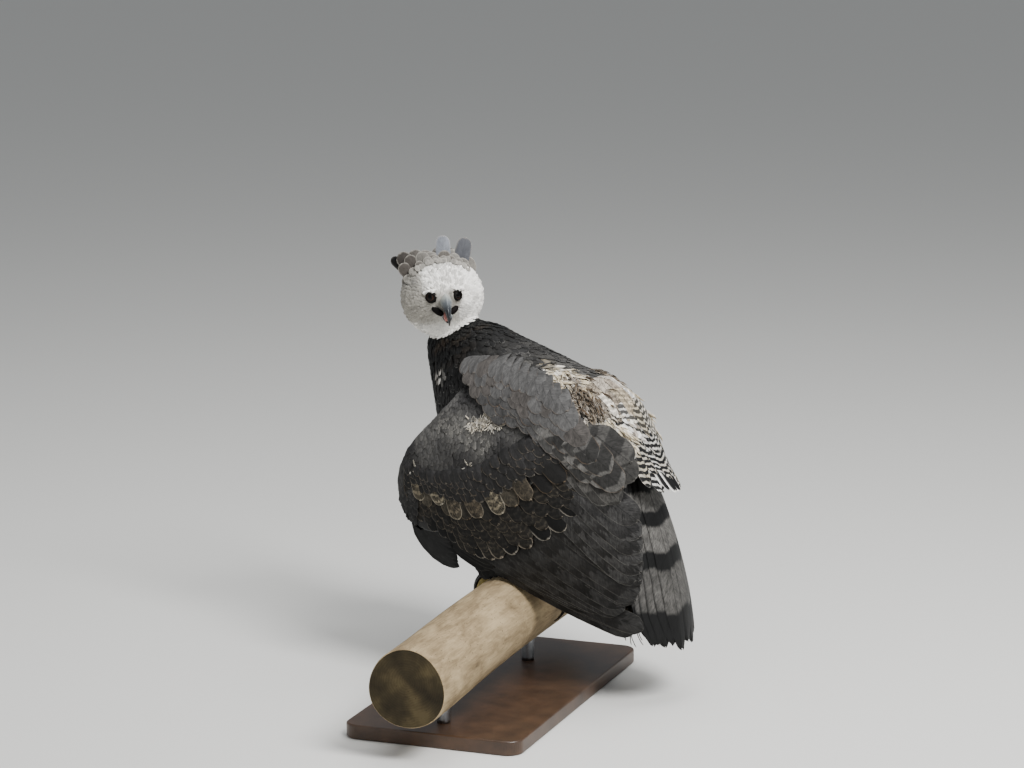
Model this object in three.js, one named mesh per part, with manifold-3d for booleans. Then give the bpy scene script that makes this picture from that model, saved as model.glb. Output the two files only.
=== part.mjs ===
// A life-size harpy eagle, an adult female, perched across a cut log on a plain display stand.
// Units are millimetres and +Z is up. The bird faces -Y with its left side at +X, and it has
// turned its head back over its left shoulder. The bird, the log and the stand are modelled from
// the point between the feet on top of the log, and the finished group is then moved so that its
// origin is the middle of the base's underside.
import * as THREE from "three";
import Module from "manifold-3d";

const wasm = await Module();
wasm.setup();

// Driving dimensions
const GAP = 0.3; // between pieces that touch
const LOG_RADIUS = 63;
const LOG_FAR_END = -128; // along the log, from between the feet
const LOG_NEAR_END = 556;
const LOG_TURN = 14.6; // degrees from +X towards +Y
const BASE_SIZE = [600, 300, 24];
const BASE_MIDDLE = 165; // along the log
const ROD_RADIUS = 11;
const ROD_PLACES = [10, 400]; // along the log
const ROD_LENGTH = 46; // in sight, between the base and the log
const HEAD_PLACE = [12, -170, 444]; // middle of the facial disc, at the height of the eyes
const HEAD_TURN = 129; // degrees to the bird's left
const HEAD_ROLL = -4; // degrees, its left eye the higher
const EYE_RADIUS = 12.2;
const EYE_PLACE = [18.5, -37, 0];
const FOOT_APART = 50; // each foot from the middle, along the log
const TAIL_LENGTH = 348;
const WING_DEPTH = 154; // half the width across both wings
const VANE_THICK = 1; // a feather at its root, and half of it at the tip
const VANE_STEP = 1.4; // from one feather up to the next, where they lie over one another

// Colours and finishes, as [hex, roughness, metalness]
const SLATE = ["#3a3b3d", 0.85, 0];
const DARK = ["#222223", 0.85, 0];
const PALE = ["#b9b6ad", 0.9, 0];
const HORN = ["#1d1d1f", 0.35, 0];
const SKIN = ["#b7a25a", 0.6, 0];
const EYE = ["#2a1c12", 0.1, 0];
const PINK = ["#c08a80", 0.5, 0];
const WOOD = ["#8b7867", 0.85, 0];
const BASE_WOOD = ["#3c2d22", 0.45, 0];
const STEEL = ["#8d8f92", 0.35, 0.9];

const vec = (x, y, z) => new THREE.Vector3(x, y, z);
const mix = THREE.MathUtils.lerp;
const rad = THREE.MathUtils.degToRad;
const smooth = (t) => THREE.MathUtils.smoothstep(t, 0, 1);

// A seeded draw, so that every build varies the feathers alike
function makeDraw(seed) {
  let state = seed;
  return () => {
    state = (state * 1664525 + 1013904223) % 4294967296;
    return state / 4294967296 - 0.5;
  };
}

// Solids

function solidOf(points, triangles) {
  const at = (i) => points[i];
  let volume = 0;
  for (const [a, b, c] of triangles) volume += at(a).dot(at(b).clone().cross(at(c)));
  const turned = volume < 0 ? triangles.map(([a, b, c]) => [a, c, b]) : triangles;
  return new wasm.Manifold(
    new wasm.Mesh({
      numProp: 3,
      vertProperties: new Float32Array(points.flatMap((p) => [p.x, p.y, p.z])),
      triVerts: new Uint32Array(turned.flat()),
    }),
  );
}

// A closed body through rings of equally many points. Opposite faces of a flat ring split alike.
function sweep(rings) {
  const n = rings[0].length;
  const triangles = [];
  for (let i = 0; i + 1 < rings.length; i++)
    for (let j = 0; j < n; j++) {
      const k = (j + 1) % n;
      const [a, b, c, d] = [i * n + j, i * n + k, (i + 1) * n + k, (i + 1) * n + j];
      if (j < n / 2) triangles.push([a, b, c], [a, c, d]);
      else triangles.push([a, b, d], [b, c, d]);
    }
  const last = (rings.length - 1) * n;
  for (let j = 1; j + 1 < n; j++) {
    triangles.push([0, j + 1, j]);
    triangles.push([last, last + j, last + j + 1]);
  }
  return solidOf(rings.flat(), triangles);
}

// A three.js geometry, with its own corners merged, as a solid
function solidFrom(geometry) {
  const place = geometry.getAttribute("position");
  const index = geometry.index ? [...geometry.index.array] : [...Array(place.count).keys()];
  const found = new Map();
  const points = [];
  const merged = index.map((i) => {
    const p = vec(place.getX(i), place.getY(i), place.getZ(i));
    const key = p.toArray().map((v) => Math.round(v * 1e4)).join();
    if (!found.has(key)) {
      found.set(key, points.length);
      points.push(p);
    }
    return found.get(key);
  });
  const triangles = [];
  for (let i = 0; i < merged.length; i += 3) {
    const [a, b, c] = merged.slice(i, i + 3);
    if (a !== b && b !== c && a !== c) triangles.push([a, b, c]);
  }
  return solidOf(points, triangles);
}

function ellipsoid(middle, radii, sides = 16, rows = 10) {
  const g = new THREE.SphereGeometry(1, sides, rows).rotateX(Math.PI / 2);
  return solidFrom(g.scale(...radii).translate(...middle));
}

// A round tube of changing radius along points. Its rings stand square to the path, with `up`
// steering them. flat is the share of the radius that is left along `up`.
function tube(points, radii, sides, up = vec(0, 0, 1), flat = 1) {
  const rings = points.map((p, i) => {
    const ahead = points[Math.min(i + 1, points.length - 1)];
    const behind = points[Math.max(i - 1, 0)];
    const along = ahead.clone().sub(behind).normalize();
    const side = up.clone().cross(along).normalize();
    const over = along.clone().cross(side);
    return Array.from({ length: sides }, (_, j) => {
      const turn = (2 * Math.PI * (j + 0.5)) / sides;
      return p
        .clone()
        .addScaledVector(side, radii[i] * Math.cos(turn))
        .addScaledVector(over, radii[i] * flat * Math.sin(turn));
    });
  });
  return sweep(rings);
}

const join = (solids) => wasm.Manifold.union(solids);

// The largest closed body of a solid
function largest(solid) {
  const bodies = solid.decompose();
  return bodies.sort((a, b) => b.volume() - a.volume())[0];
}

// One feather: a flat vane with a blunt, rounded tip. at(t, w, h) places a point t of the way
// along it, w to its side and h over it.
const LONG_VANE = [
  [0, 0.42],
  [0.34, 0.92],
  [0.7, 1],
  [0.91, 0.8],
  [1, 0.36],
];
const SHORT_VANE = [
  [0, 0.5],
  [0.5, 1],
  [0.88, 0.8],
  [1, 0.36],
];

function vane(at, halfWidth, shape = LONG_VANE, thick = VANE_THICK) {
  return sweep(
    shape.map(([t, share]) => {
      const w = halfWidth * share;
      const h = (thick / 2) * (1 - 0.45 * t);
      return [at(t, -w, h), at(t, w, h), at(t, w, -h), at(t, -w, -h)];
    }),
  );
}

// Torso and neck: rings given by the back's point, the belly's point and the half width

const BODY_SIDES = 20;
const NECK_RINGS = [
  // back y, back z, front y, front z, half width, and how far it stands to the bird's left
  [-146, 424, -202, 384, 26, -14],
  [-126, 411, -217, 364, 33, -13],
  [-106, 402, -222, 344, 40, -11],
  [-62, 399, -205, 306, 59, -3],
  [-24, 385, -184, 254, 82, 0],
];
const TORSO_RINGS = [
  [-24, 385, -184, 254, 82],
  [30, 369, -164, 186, 101],
  [85, 352, -126, 118, 112],
  [142, 335, -66, 74, 113],
  [192, 309, 22, 66, 104],
  [228, 274, 98, 92, 86],
  [244, 238, 158, 130, 60],
  [238, 206, 194, 164, 32],
];

function bodyRing([backY, backZ, frontY, frontZ, half, left = 0], grow, shift = 0) {
  const back = vec(left, backY, backZ);
  const front = vec(left, frontY, frontZ);
  const middle = back.clone().lerp(front, 0.5);
  const reach = back.clone().sub(front).multiplyScalar(0.5);
  const length = reach.length();
  const along = vec(1, 0, 0).cross(reach).normalize();
  middle.addScaledVector(along, shift);
  return Array.from({ length: BODY_SIDES }, (_, j) => {
    const turn = (2 * Math.PI * j) / BODY_SIDES;
    return middle
      .clone()
      .addScaledVector(reach, Math.cos(turn) * (1 + grow / length))
      .addScaledVector(vec(1, 0, 0), Math.sin(turn) * (half + grow));
  });
}

const bodyLoft = (rings, grow = 0) => sweep(rings.map((r) => bodyRing(r, grow)));

// The rump's line from the mantle down over the tail's root, and a point on the sheet of
// coverts that hangs from it: s along the line, x to the side, h over it
const RUMP_LINE = new THREE.SplineCurve([
  new THREE.Vector2(150, 334),
  new THREE.Vector2(206, 303),
  new THREE.Vector2(246, 258),
  new THREE.Vector2(276, 208),
  new THREE.Vector2(295, 160),
]);
const RUMP_ROOF = 105; // the sheet falls by x * x / RUMP_ROOF at its sides

function onRump(s, x, h) {
  const p = RUMP_LINE.getPoint(Math.min(s, 1));
  const ahead = RUMP_LINE.getTangent(Math.min(s, 1));
  const fall = h - (x * x) / RUMP_ROOF;
  return vec(x, p.x - ahead.y * fall, p.y + ahead.x * fall);
}

// Rows of uppertail coverts: count, half spread at the roots and tips, s at the roots and tips,
// half width, height over the rump at the tips
const RUMP_ROWS = [
  { count: 5, spread: [26, 50], from: 0.3, to: 1, half: 18, rise: 2 },
  { count: 6, spread: [34, 58], from: 0.06, to: 0.62, half: 18, rise: 10 },
];
const RUMP_DEPTH = 36; // of the roots under the sheet

function rumpCoverts(grow = 0) {
  const draw = makeDraw(11);
  return RUMP_ROWS.flatMap(({ count, spread, from, to, half, rise }) =>
    Array.from({ length: count }, (_, i) => {
      const place = 2 * i - (count - 1); // from the bird's right to its left, 0 in the middle
      const u = place / (count - 1);
      const end = to - 0.1 * u * u + 0.03 * draw();
      const lean = 0.06 * Math.sign(u);
      const level = rise - VANE_STEP * (Math.abs(place) - (place > 0 ? 1 : 0));
      return vane(
        (t, w, h) => {
          const x = u * mix(spread[0], spread[1], t) + w;
          return onRump(mix(from, end, t), x, mix(-RUMP_DEPTH, level, smooth(t * 2.2)) + lean * w + h);
        },
        half + grow,
        SHORT_VANE,
        VANE_THICK + 2 * grow,
      );
    }),
  );
}

// The torso's own feathers under the tail: a row of long soft coverts
function underTailCoverts() {
  return [-1, 0, 1].map((u) =>
    vane(
      (t, w, h) => vec(u * mix(16, 30, t) + w, mix(170, 236, t) + 3 * u - h, mix(150, 40, t)),
      16,
      SHORT_VANE,
    ),
  );
}

const torsoCore = (grow) => bodyLoft(TORSO_RINGS, grow);
const neckRings = NECK_RINGS.slice(0, -1);

function makeTorso(tail) {
  const feathered = join([torsoCore(0), ...rumpCoverts(), ...underTailCoverts()]);
  return largest(feathered.subtract(tail));
}

function neckCore(grow = 0) {
  const rings = neckRings.map((r) => bodyRing(r, grow));
  rings.push(bodyRing(NECK_RINGS.at(-1), grow, GAP));
  return sweep(rings);
}

const makeNeck = (head) => largest(neckCore().subtract(head));

// Tail: twelve rectrices fanned from the pygostyle, the middle pair on top

const TAIL_ROOT = vec(0, 206, 232);
const TAIL_ALONG = vec(0, 0.324, -0.946).normalize();
const TAIL_OVER = vec(0, 0.946, 0.324).normalize();
const TAIL_PAIRS = 6;
const TAIL_SPREAD = 70; // half the fan at the tips
const TAIL_HALF_WIDTH = 29;
const TAIL_ROOF = 330;

function onTail(s, x, h) {
  const fall = (x * x) / TAIL_ROOF + 10 * (s / TAIL_LENGTH) ** 2;
  return TAIL_ROOT.clone()
    .addScaledVector(TAIL_ALONG, s)
    .addScaledVector(TAIL_OVER, h - fall)
    .add(vec(x, 0, 0));
}

const rectrixReach = (v) => TAIL_SPREAD * (1 - (1 - v) ** 1.8);

function makeTail(grow = 0) {
  const draw = makeDraw(5);
  const feathers = [];
  for (let k = 1; k <= TAIL_PAIRS; k++)
    for (const side of [-1, 1]) {
      const v = (k - 0.5) / (TAIL_PAIRS - 0.5);
      const tip = side * rectrixReach(v);
      const length = TAIL_LENGTH - 34 * v * v + 8 * draw();
      const level = side > 0 ? 2 * k - 1 : 2 * k;
      feathers.push(
        vane(
          (t, w, h) => {
            const x = mix(side * 18 * v, tip, t ** 0.7) - 5 * t + w;
            const height = 0.02 * side * w - level * mix(VANE_STEP, 0.8, t);
            return onTail(mix(12, length, t), x, height + h);
          },
          TAIL_HALF_WIDTH + grow,
          LONG_VANE,
          VANE_THICK + 0.2 + 2 * grow,
        ),
      );
    }
  const stump = ellipsoid([0, 206, 206], [30 + grow, 19 + grow, 30 + grow], 10, 6);
  return largest(join([stump, ...feathers]));
}

// Wing: its outer face bulges over the flank as x = flank(y, z), and everything on it is laid out
// in y and z, with h over that face. The right wing is the left one's mirror image, folded closer.

const WING_MIDDLE = [-40, 60];
const WING_REACH = [450, 300];

function flank(y, z) {
  const a = (y - WING_MIDDLE[0]) / WING_REACH[0];
  const b = Math.abs(z - WING_MIDDLE[1]) / WING_REACH[1];
  return WING_DEPTH * Math.sqrt(Math.max(0.04, 1 - a ** 2 - b ** 3));
}

function onWing(y, z, h) {
  const step = 2;
  const slopeY = (flank(y + step, z) - flank(y - step, z)) / (2 * step);
  const slopeZ = (flank(y, z + step) - flank(y, z - step)) / (2 * step);
  const out = vec(1, -slopeY, -slopeZ).normalize();
  return vec(flank(y, z), y, z).addScaledVector(out, h);
}

const leftPlace = (solid) => solid;
const SHOULDER = [70, -60, 260];
const RIGHT_TURN = [-6, 0, -9]; // degrees that bring its tips down and in

function rightPlace(solid) {
  const [x, y, z] = SHOULDER;
  const folded = solid.translate([-x, -y, -z]).mirror([1, 0, 0]).scale([1, 0.9, 0.97]);
  return folded.rotate(RIGHT_TURN).translate([-x, y - 34, z]);
}

const line2 = (...places) => new THREE.SplineCurve(places.map(([y, z]) => new THREE.Vector2(y, z)));

// Tiers of a wing from the innermost layer out: feathers from the distal end of a row to the
// proximal end, each lying over the one before. root and tip are lines in y and z, high is the
// height over the flank of the row's first feather, step is how much higher each next one lies,
// and bow is how far a feather bends to its lower side.
const WING_TIERS = {
  primaries: {
    count: 10,
    root: line2([-58, 72], [-92, 82], [-112, 100]),
    tip: line2([136, 10], [196, -22], [252, -52], [276, -66], [286, -48]),
    half: [17, 21],
    high: -20,
    step: 1.4,
    lean: 0.04,
    bow: 3,
    shape: LONG_VANE,
  },
  primary_coverts: {
    count: 4,
    root: line2([-84, 78], [-108, 104]),
    tip: line2([14, 44], [30, 56], [28, 76]),
    half: [16, 16],
    high: -6,
    step: 1.2,
    lean: 0.04,
    bow: 4,
    shape: SHORT_VANE,
  },
  secondaries: {
    count: 10,
    root: line2([-104, 110], [-10, 150], [85, 204]),
    tip: line2([206, -18], [258, -26], [286, 6], [291, 62]),
    half: [23, 25],
    high: -5,
    step: 0.7,
    lean: 0.07,
    bow: 6,
    shape: SHORT_VANE,
  },
  tertials: {
    count: 4,
    root: line2([96, 206], [134, 246]),
    tip: line2([289, 34], [293, 126]),
    half: [25, 27],
    high: 3,
    step: 1.4,
    lean: 0.05,
    bow: 6,
    shape: LONG_VANE,
  },
  alula: {
    count: 4,
    root: line2([-154, 100], [-134, 110]),
    tip: line2([-34, 3], [-56, 22], [-70, 48]),
    half: [19, 15],
    high: -12,
    step: 1.4,
    lean: 0.04,
    bow: 22,
    shape: SHORT_VANE,
  },
  greater_coverts: {
    count: 9,
    root: line2([-96, 110], [-38, 120], [48, 152], [112, 192], [146, 230]),
    tip: line2([-40, 44], [24, 40], [106, 73], [172, 112], [218, 160]),
    half: [18, 20],
    high: 0,
    step: 0.9,
    lean: 0.06,
    bow: 4,
    shape: SHORT_VANE,
  },
  median_coverts: {
    count: 8,
    root: line2([-128, 146], [-66, 156], [12, 172], [92, 210], [150, 250]),
    tip: line2([-112, 92], [-46, 97], [34, 116], [128, 155], [196, 200]),
    half: [18, 22],
    high: 5,
    step: 1,
    lean: 0.06,
    bow: 3,
    shape: SHORT_VANE,
  },
  scapulars: {
    count: 6,
    root: line2([2, 322], [86, 316], [158, 294]),
    tip: line2([70, 262], [158, 232], [244, 196], [293, 148]),
    half: [24, 28],
    high: 10,
    step: 1.4,
    lean: 0.05,
    bow: 0,
    shape: SHORT_VANE,
  },
};
const ROOT_DIP = 9; // of each feather's root under its own layer

function wingFeathers({ count, root, tip, half, high, step, lean, bow, shape }, seed) {
  const draw = makeDraw(seed);
  return Array.from({ length: count }, (_, i) => {
    const u = i / (count - 1);
    const from = root.getPoint(u);
    const to = tip.getPoint(u);
    const along = to.clone().sub(from);
    const length = along.length() * (1 + 0.03 * draw());
    along.normalize();
    const side = new THREE.Vector2(-along.y, along.x); // up, towards the next feather of the row
    const width = mix(half[0], half[1], u) * (1 + 0.06 * draw());
    return vane(
      (t, w, h) => {
        const across = w - bow * 4 * t * (1 - t);
        const p = from.clone().addScaledVector(along, t * length).addScaledVector(side, across);
        const height = high + step * i - ROOT_DIP * (1 - smooth(t * 2.2)) - lean * w;
        return onWing(p.x, p.y, height + h);
      },
      width,
      shape,
    );
  });
}

// The arm and hand under the lesser coverts: a pillow inside an outline in y and z
const ARM_OUTLINE = new THREE.SplineCurve(
  [
    [-58, 330],
    [-100, 264],
    [-146, 204],
    [-175, 150],
    [-168, 94],
    [-128, 62],
    [-76, 62],
    [-10, 88],
    [60, 114],
    [124, 150],
    [170, 196],
    [200, 244],
    [172, 292],
    [90, 326],
    [10, 338],
    [-58, 330],
  ].map(([y, z]) => new THREE.Vector2(y, z)),
);
const ARM_MIDDLE = new THREE.Vector2(-10, 200);
const ARM_SIDES = 20;
const ARM_SHELLS = [0.45, 0.82, 1]; // shares of the way from the middle to the outline
const ARM_OUTER = 10; // over the flank
const ARM_INNER = 24; // under it
const ARM_RIM = -6;

function armCore() {
  const rim = Array.from({ length: ARM_SIDES }, (_, j) => ARM_OUTLINE.getPoint(j / ARM_SIDES));
  const shell = (share, height) =>
    rim.map((p) => {
      const q = ARM_MIDDLE.clone().lerp(p, share);
      return onWing(q.x, q.y, ARM_RIM + height * Math.sqrt(1 - share ** 5));
    });
  const shells = ARM_SHELLS.slice(0, -1);
  const outer = shells.map((share) => shell(share, ARM_OUTER - ARM_RIM));
  const inner = shells.reverse().map((share) => shell(share, -ARM_INNER - ARM_RIM));
  return sweep([...outer, shell(1, 0), ...inner]);
}

function makeWing(place, others) {
  const feathers = Object.values(WING_TIERS).flatMap((tier, i) => wingFeathers(tier, 21 + i));
  const placed = place(join([armCore(), ...feathers]));
  return largest(others.reduce((solid, other) => solid.subtract(other), placed));
}

// Head, in its own frame: the bill points to -Y, +Z is up and the middle of the eyes' line is
// the origin's height. Rings give y, the middle's z, half width, and reach up and down.

const HEAD_SIDES = 24;
const HEAD_RINGS = [
  [-49, -6, 15, 13, 16],
  [-43, -5, 29, 23, 28],
  [-34, -4, 42, 35, 41],
  [-22, -4, 54, 46, 55],
  [-8, -5, 65, 57, 66],
  [4, -6, 71, 64, 70],
  [12, -6, 72, 66, 70],
  [20, -6, 69, 66, 66],
  [30, -8, 60, 62, 60],
  [44, -10, 51, 54, 54],
  [58, -12, 38, 41, 42],
  [66, -12, 23, 26, 27],
  [70, -12, 8, 9, 9],
];

function headRing([y, z, half, up, down], grow) {
  return Array.from({ length: HEAD_SIDES }, (_, j) => {
    const turn = (2 * Math.PI * (j + 0.5)) / HEAD_SIDES;
    const rise = Math.cos(turn) > 0 ? up : down;
    return vec((half + grow) * Math.sin(turn), y, z + (rise + grow) * Math.cos(turn));
  });
}

const headCore = (grow = 0) => sweep(HEAD_RINGS.map((r) => headRing(r, grow)));

// Crest feathers in three rows over the crown, from its front to the nape: each is placed by its
// angle to the bird's left of the crown's middle, with its length
const CREST_ROWS = [
  {
    y: 12,
    lean: 6,
    half: 10.5,
    root: 0.88,
    feathers: [[-50, 26], [-35, 28], [-21, 27], [-7, 21], [7, 19], [21, 21], [36, 20]],
  },
  {
    y: 26,
    lean: 14,
    half: 12.5,
    root: 0.86,
    feathers: [[-56, 38], [-42, 43], [-27, 41], [-12, 32], [10, 55], [21, 30], [33, 62], [46, 28]],
  },
  {
    y: 40,
    lean: 46,
    half: 18.5,
    root: 0.8,
    feathers: [[-58, 38], [-36, 44], [-14, 47], [8, 49], [30, 47], [54, 40]],
  },
];

function crestFeathers() {
  const draw = makeDraw(31);
  return CREST_ROWS.flatMap(({ y, lean, half, root, feathers }) =>
    feathers.map(([degrees, length]) => {
      const out = vec(Math.sin(rad(degrees)), 0, Math.cos(rad(degrees)));
      const from = vec(out.x * 66 * root, y, out.z * 62 * root);
      const up = out.clone().multiply(vec(0.55, 0, 1)).normalize();
      const back = rad(lean + 8 * draw());
      const along = up.multiplyScalar(Math.cos(back)).add(vec(0, Math.sin(back), 0));
      const face = vec(0, -1, 0).addScaledVector(along, along.y).normalize();
      const side = along.clone().cross(face);
      return vane(
        (t, w, h) =>
          from
            .clone()
            .add(vec(0, 0, -6))
            .addScaledVector(along, t * length)
            .addScaledVector(side, w)
            .addScaledVector(face, h - 0.1 * length * t * t - 0.012 * w * w + 0.1 * w),
        half + 2 * draw(),
        SHORT_VANE,
      );
    }),
  );
}

function eyeSide(side, place = EYE_PLACE) {
  return [side * place[0], place[1], place[2]];
}

// Brow, lids and the pit that the eye sits in
const LID_RADIUS = 11.4;
const EYE_TURN = 33; // degrees that each eye looks out to its side

function lidRing(side) {
  const ring = new THREE.TorusGeometry(LID_RADIUS, 2.4, 5, 12).rotateX(Math.PI / 2);
  ring.scale(1, 1, 0.86).translate(0, -5.4, 0).rotateZ(rad(side * EYE_TURN));
  return solidFrom(ring.translate(...eyeSide(side)));
}

function brow(side) {
  const g = new THREE.SphereGeometry(1, 8, 6).scale(17, 8, 4.6);
  g.rotateY(rad(-side * 8)).rotateZ(rad(side * 30));
  return solidFrom(g.translate(side * 22, -41, 13.5));
}

const gapeCorner = (side) => ellipsoid([side * 16, -47, -20], [9, 8, 3.4], 8, 6);

function makeHead(parts) {
  let solid = join([headCore(), ...crestFeathers()]);
  for (const side of [-1, 1]) solid = solid.add(lidRing(side)).add(brow(side));
  for (const side of [-1, 1]) {
    solid = solid.subtract(ellipsoid(eyeSide(side), Array(3).fill(EYE_RADIUS + 2 * GAP), 12, 8));
    solid = solid.subtract(gapeCorner(side));
  }
  for (const part of parts) solid = solid.subtract(part);
  return largest(solid);
}

// Bill: the upper half with its cere hooks down over the lower half
const UPPER_BILL = [
  // y, z, half width, half height
  [-46, -5, 9, 13],
  [-49, -5, 12, 14],
  [-54, -5, 13.2, 13.2],
  [-63, -7, 11, 12.2],
  [-73, -12, 8.8, 10.4],
  [-81, -20.5, 6.4, 8],
  [-85, -30.5, 3.8, 5],
  [-84.5, -41, 1, 1.3],
];
const LOWER_BILL = [
  [-40, -26, 11.5, 5],
  [-52, -28, 10.5, 4.6],
  [-63, -29.5, 8, 3.8],
  [-72, -30, 3.4, 2.2],
];

function billLoft(rows, grow) {
  const sides = 12;
  const rings = rows.map(([y, z, half, high], i) => {
    const [nextY, nextZ] = rows[Math.min(i + 1, rows.length - 1)];
    const [lastY, lastZ] = rows[Math.max(i - 1, 0)];
    const along = vec(0, nextY - lastY, nextZ - lastZ).normalize();
    const over = vec(0, along.z, -along.y);
    return Array.from({ length: sides }, (_, j) => {
      const turn = (2 * Math.PI * (j + 0.5)) / sides;
      return vec((half + grow) * Math.sin(turn), y, z).addScaledVector(
        over,
        (high + grow) * Math.cos(turn),
      );
    });
  });
  return sweep(rings);
}

function makeUpperBill(grow = 0) {
  const nostrils = [-1, 1].map((side) => ellipsoid([side * 12.4, -56, -3], [2.4, 3, 1.7], 6, 4));
  const bill = billLoft(UPPER_BILL, grow);
  return grow ? bill : nostrils.reduce((solid, hole) => solid.subtract(hole), bill);
}

function makeLowerBill(grow = 0) {
  return largest(billLoft(LOWER_BILL, grow).subtract(billLoft(UPPER_BILL, GAP - grow)));
}

function makeTongue(grow = 0) {
  const tongue = ellipsoid([0, -60, -22], [4.6 + grow, 12 + grow, 3 + grow], 8, 6);
  return largest(tongue.subtract(billLoft(UPPER_BILL, GAP)).subtract(makeLowerBill(GAP)));
}

// Legs: a feathered thigh, a bare shank and a foot whose toes bend over the log

const LOG_ALONG = vec(Math.cos(rad(LOG_TURN)), Math.sin(rad(LOG_TURN)), 0);
const LOG_ACROSS = vec(-Math.sin(rad(LOG_TURN)), Math.cos(rad(LOG_TURN)), 0);

// A point by its place along the log, its angle behind the log's crest and its distance from
// the log's axis
function atLog(along, degrees, reach) {
  return vec(0, 0, -LOG_RADIUS + reach * Math.cos(rad(degrees)))
    .addScaledVector(LOG_ALONG, along)
    .addScaledVector(LOG_ACROSS, reach * Math.sin(rad(degrees)));
}

const THIGH_RADII = [44, 50, 51, 47, 38, 26];
const SHANK_RADII = [15, 14, 13.5, 15];

function legLine(side) {
  const foot = atLog(side * FOOT_APART, 2, LOG_RADIUS + 18);
  return {
    hip: vec(side * 53, -30, 176),
    knee: vec(side * 56, 8, 132),
    ankle: vec(side * 55, 62, 84),
    foot,
  };
}

function makeThigh(side, torso, grow = 0) {
  const { hip, knee, ankle } = legLine(side);
  const path = new THREE.CatmullRomCurve3([hip, knee, ankle.clone().lerp(knee, -0.08)]);
  const points = path.getPoints(THIGH_RADII.length - 1);
  const radii = THIGH_RADII.map((r) => r + grow);
  points.push(points.at(-1).clone().lerp(points.at(-2), -grow / 20));
  radii.push(radii.at(-1));
  return largest(tube(points, radii, 14, vec(1, 0, 0)).subtract(torso));
}

function makeShank(side, thigh, foot) {
  const { ankle, foot: ground } = legLine(side);
  const points = [0, 0.35, 0.7, 1].map((t) => ankle.clone().lerp(ground, t));
  return largest(tube(points, SHANK_RADII, 10, vec(1, 0, 0)).subtract(thigh).subtract(foot));
}

// Toes: place of the root along the log, how far the tip is carried along it, the angles over
// the log from root to tip, the radius at the root, and the claw's length as an angle
const TOES = [
  { name: "inner", root: -14, carry: -18, from: -6, to: -52, thick: 12, claw: 56 },
  { name: "middle", root: 0, carry: 3, from: -8, to: -76, thick: 11, claw: 44 },
  { name: "outer", root: 14, carry: 22, from: -5, to: -57, thick: 10, claw: 38 },
  { name: "hind", root: -5, carry: -6, from: 8, to: 50, thick: 13, claw: 66 },
];
const TOE_STEPS = 4;
const CLAW_STEPS = 4;

// The toe's middle line at t from 0 to 1
function toeRing(side, toe, t, grow) {
  const bulge = 1 - 0.22 * t + 0.07 * Math.cos(t * 4 * Math.PI);
  const radius = toe.thick * bulge;
  const along = side * (FOOT_APART + toe.root + toe.carry * t);
  return [atLog(along, mix(toe.from, toe.to, t), LOG_RADIUS + radius + 2 * GAP), radius + grow];
}

function makeFoot(side, grow = 0) {
  const toes = TOES.map((toe) => {
    const rings = Array.from({ length: TOE_STEPS + 1 }, (_, i) => toeRing(side, toe, i / TOE_STEPS, grow));
    return tube(rings.map((r) => r[0]), rings.map((r) => r[1]), 7, LOG_ALONG);
  });
  const pad = atLog(side * (FOOT_APART - 1), 0, LOG_RADIUS + 14.5);
  return join([ellipsoid(pad.toArray(), [22 + grow, 19 + grow, 14 + grow], 10, 6), ...toes]);
}

function makeClaw(side, toe, foot) {
  const radius = toeRing(side, toe, 1, 0)[1];
  const along = side * (FOOT_APART + toe.root + toe.carry);
  const turn = Math.sign(toe.to);
  const points = [];
  const radii = [];
  for (let i = 0; i <= CLAW_STEPS; i++) {
    const t = i / CLAW_STEPS;
    const reach = mix(LOG_RADIUS + radius + 2 * GAP, LOG_RADIUS + 2, t ** 1.4) + 11 * Math.sin(Math.PI * t);
    points.push(atLog(along * (1 + 0.03 * t), toe.to + turn * toe.claw * t, reach));
    radii.push(mix(radius * 0.72, 0.7, t ** 1.1));
  }
  return largest(tube(points, radii, 6, LOG_ALONG).subtract(foot));
}

// Log, rods and base

function logRadius(along, turn, grow) {
  const far = THREE.MathUtils.smoothstep(along, 120, LOG_NEAR_END); // away from the feet
  const uneven = 0.022 * Math.cos(2 * turn + 0.6) + 0.018 * Math.cos(3 * turn + along / 90);
  return LOG_RADIUS * (1 + far * uneven) + grow;
}

const SAW_SKEW = -0.1; // the near end isn't sawn quite square

function makeLog(grow = 0) {
  const sides = 24;
  const steps = [LOG_FAR_END, 90, 200, 310, 420, LOG_NEAR_END];
  return sweep(
    steps.map((along) =>
      Array.from({ length: sides }, (_, j) => {
        const turn = (2 * Math.PI * j) / sides;
        const reach = logRadius(along, turn, grow);
        const skew = along === LOG_NEAR_END ? SAW_SKEW * reach * Math.sin(turn) : 0;
        return vec(0, 0, -LOG_RADIUS + reach * Math.cos(turn))
          .addScaledVector(LOG_ALONG, along + skew)
          .addScaledVector(LOG_ACROSS, reach * Math.sin(turn));
      }),
    ),
  );
}

const BASE_TOP = -2 * LOG_RADIUS - ROD_LENGTH;

function makeRod(along, log) {
  const top = -1.5 * LOG_RADIUS;
  const bottom = BASE_TOP + GAP;
  const g = new THREE.CylinderGeometry(ROD_RADIUS, ROD_RADIUS, top - bottom, 16).rotateX(Math.PI / 2);
  const place = LOG_ALONG.clone().multiplyScalar(along);
  return largest(solidFrom(g.translate(place.x, place.y, (top + bottom) / 2)).subtract(log));
}

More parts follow.
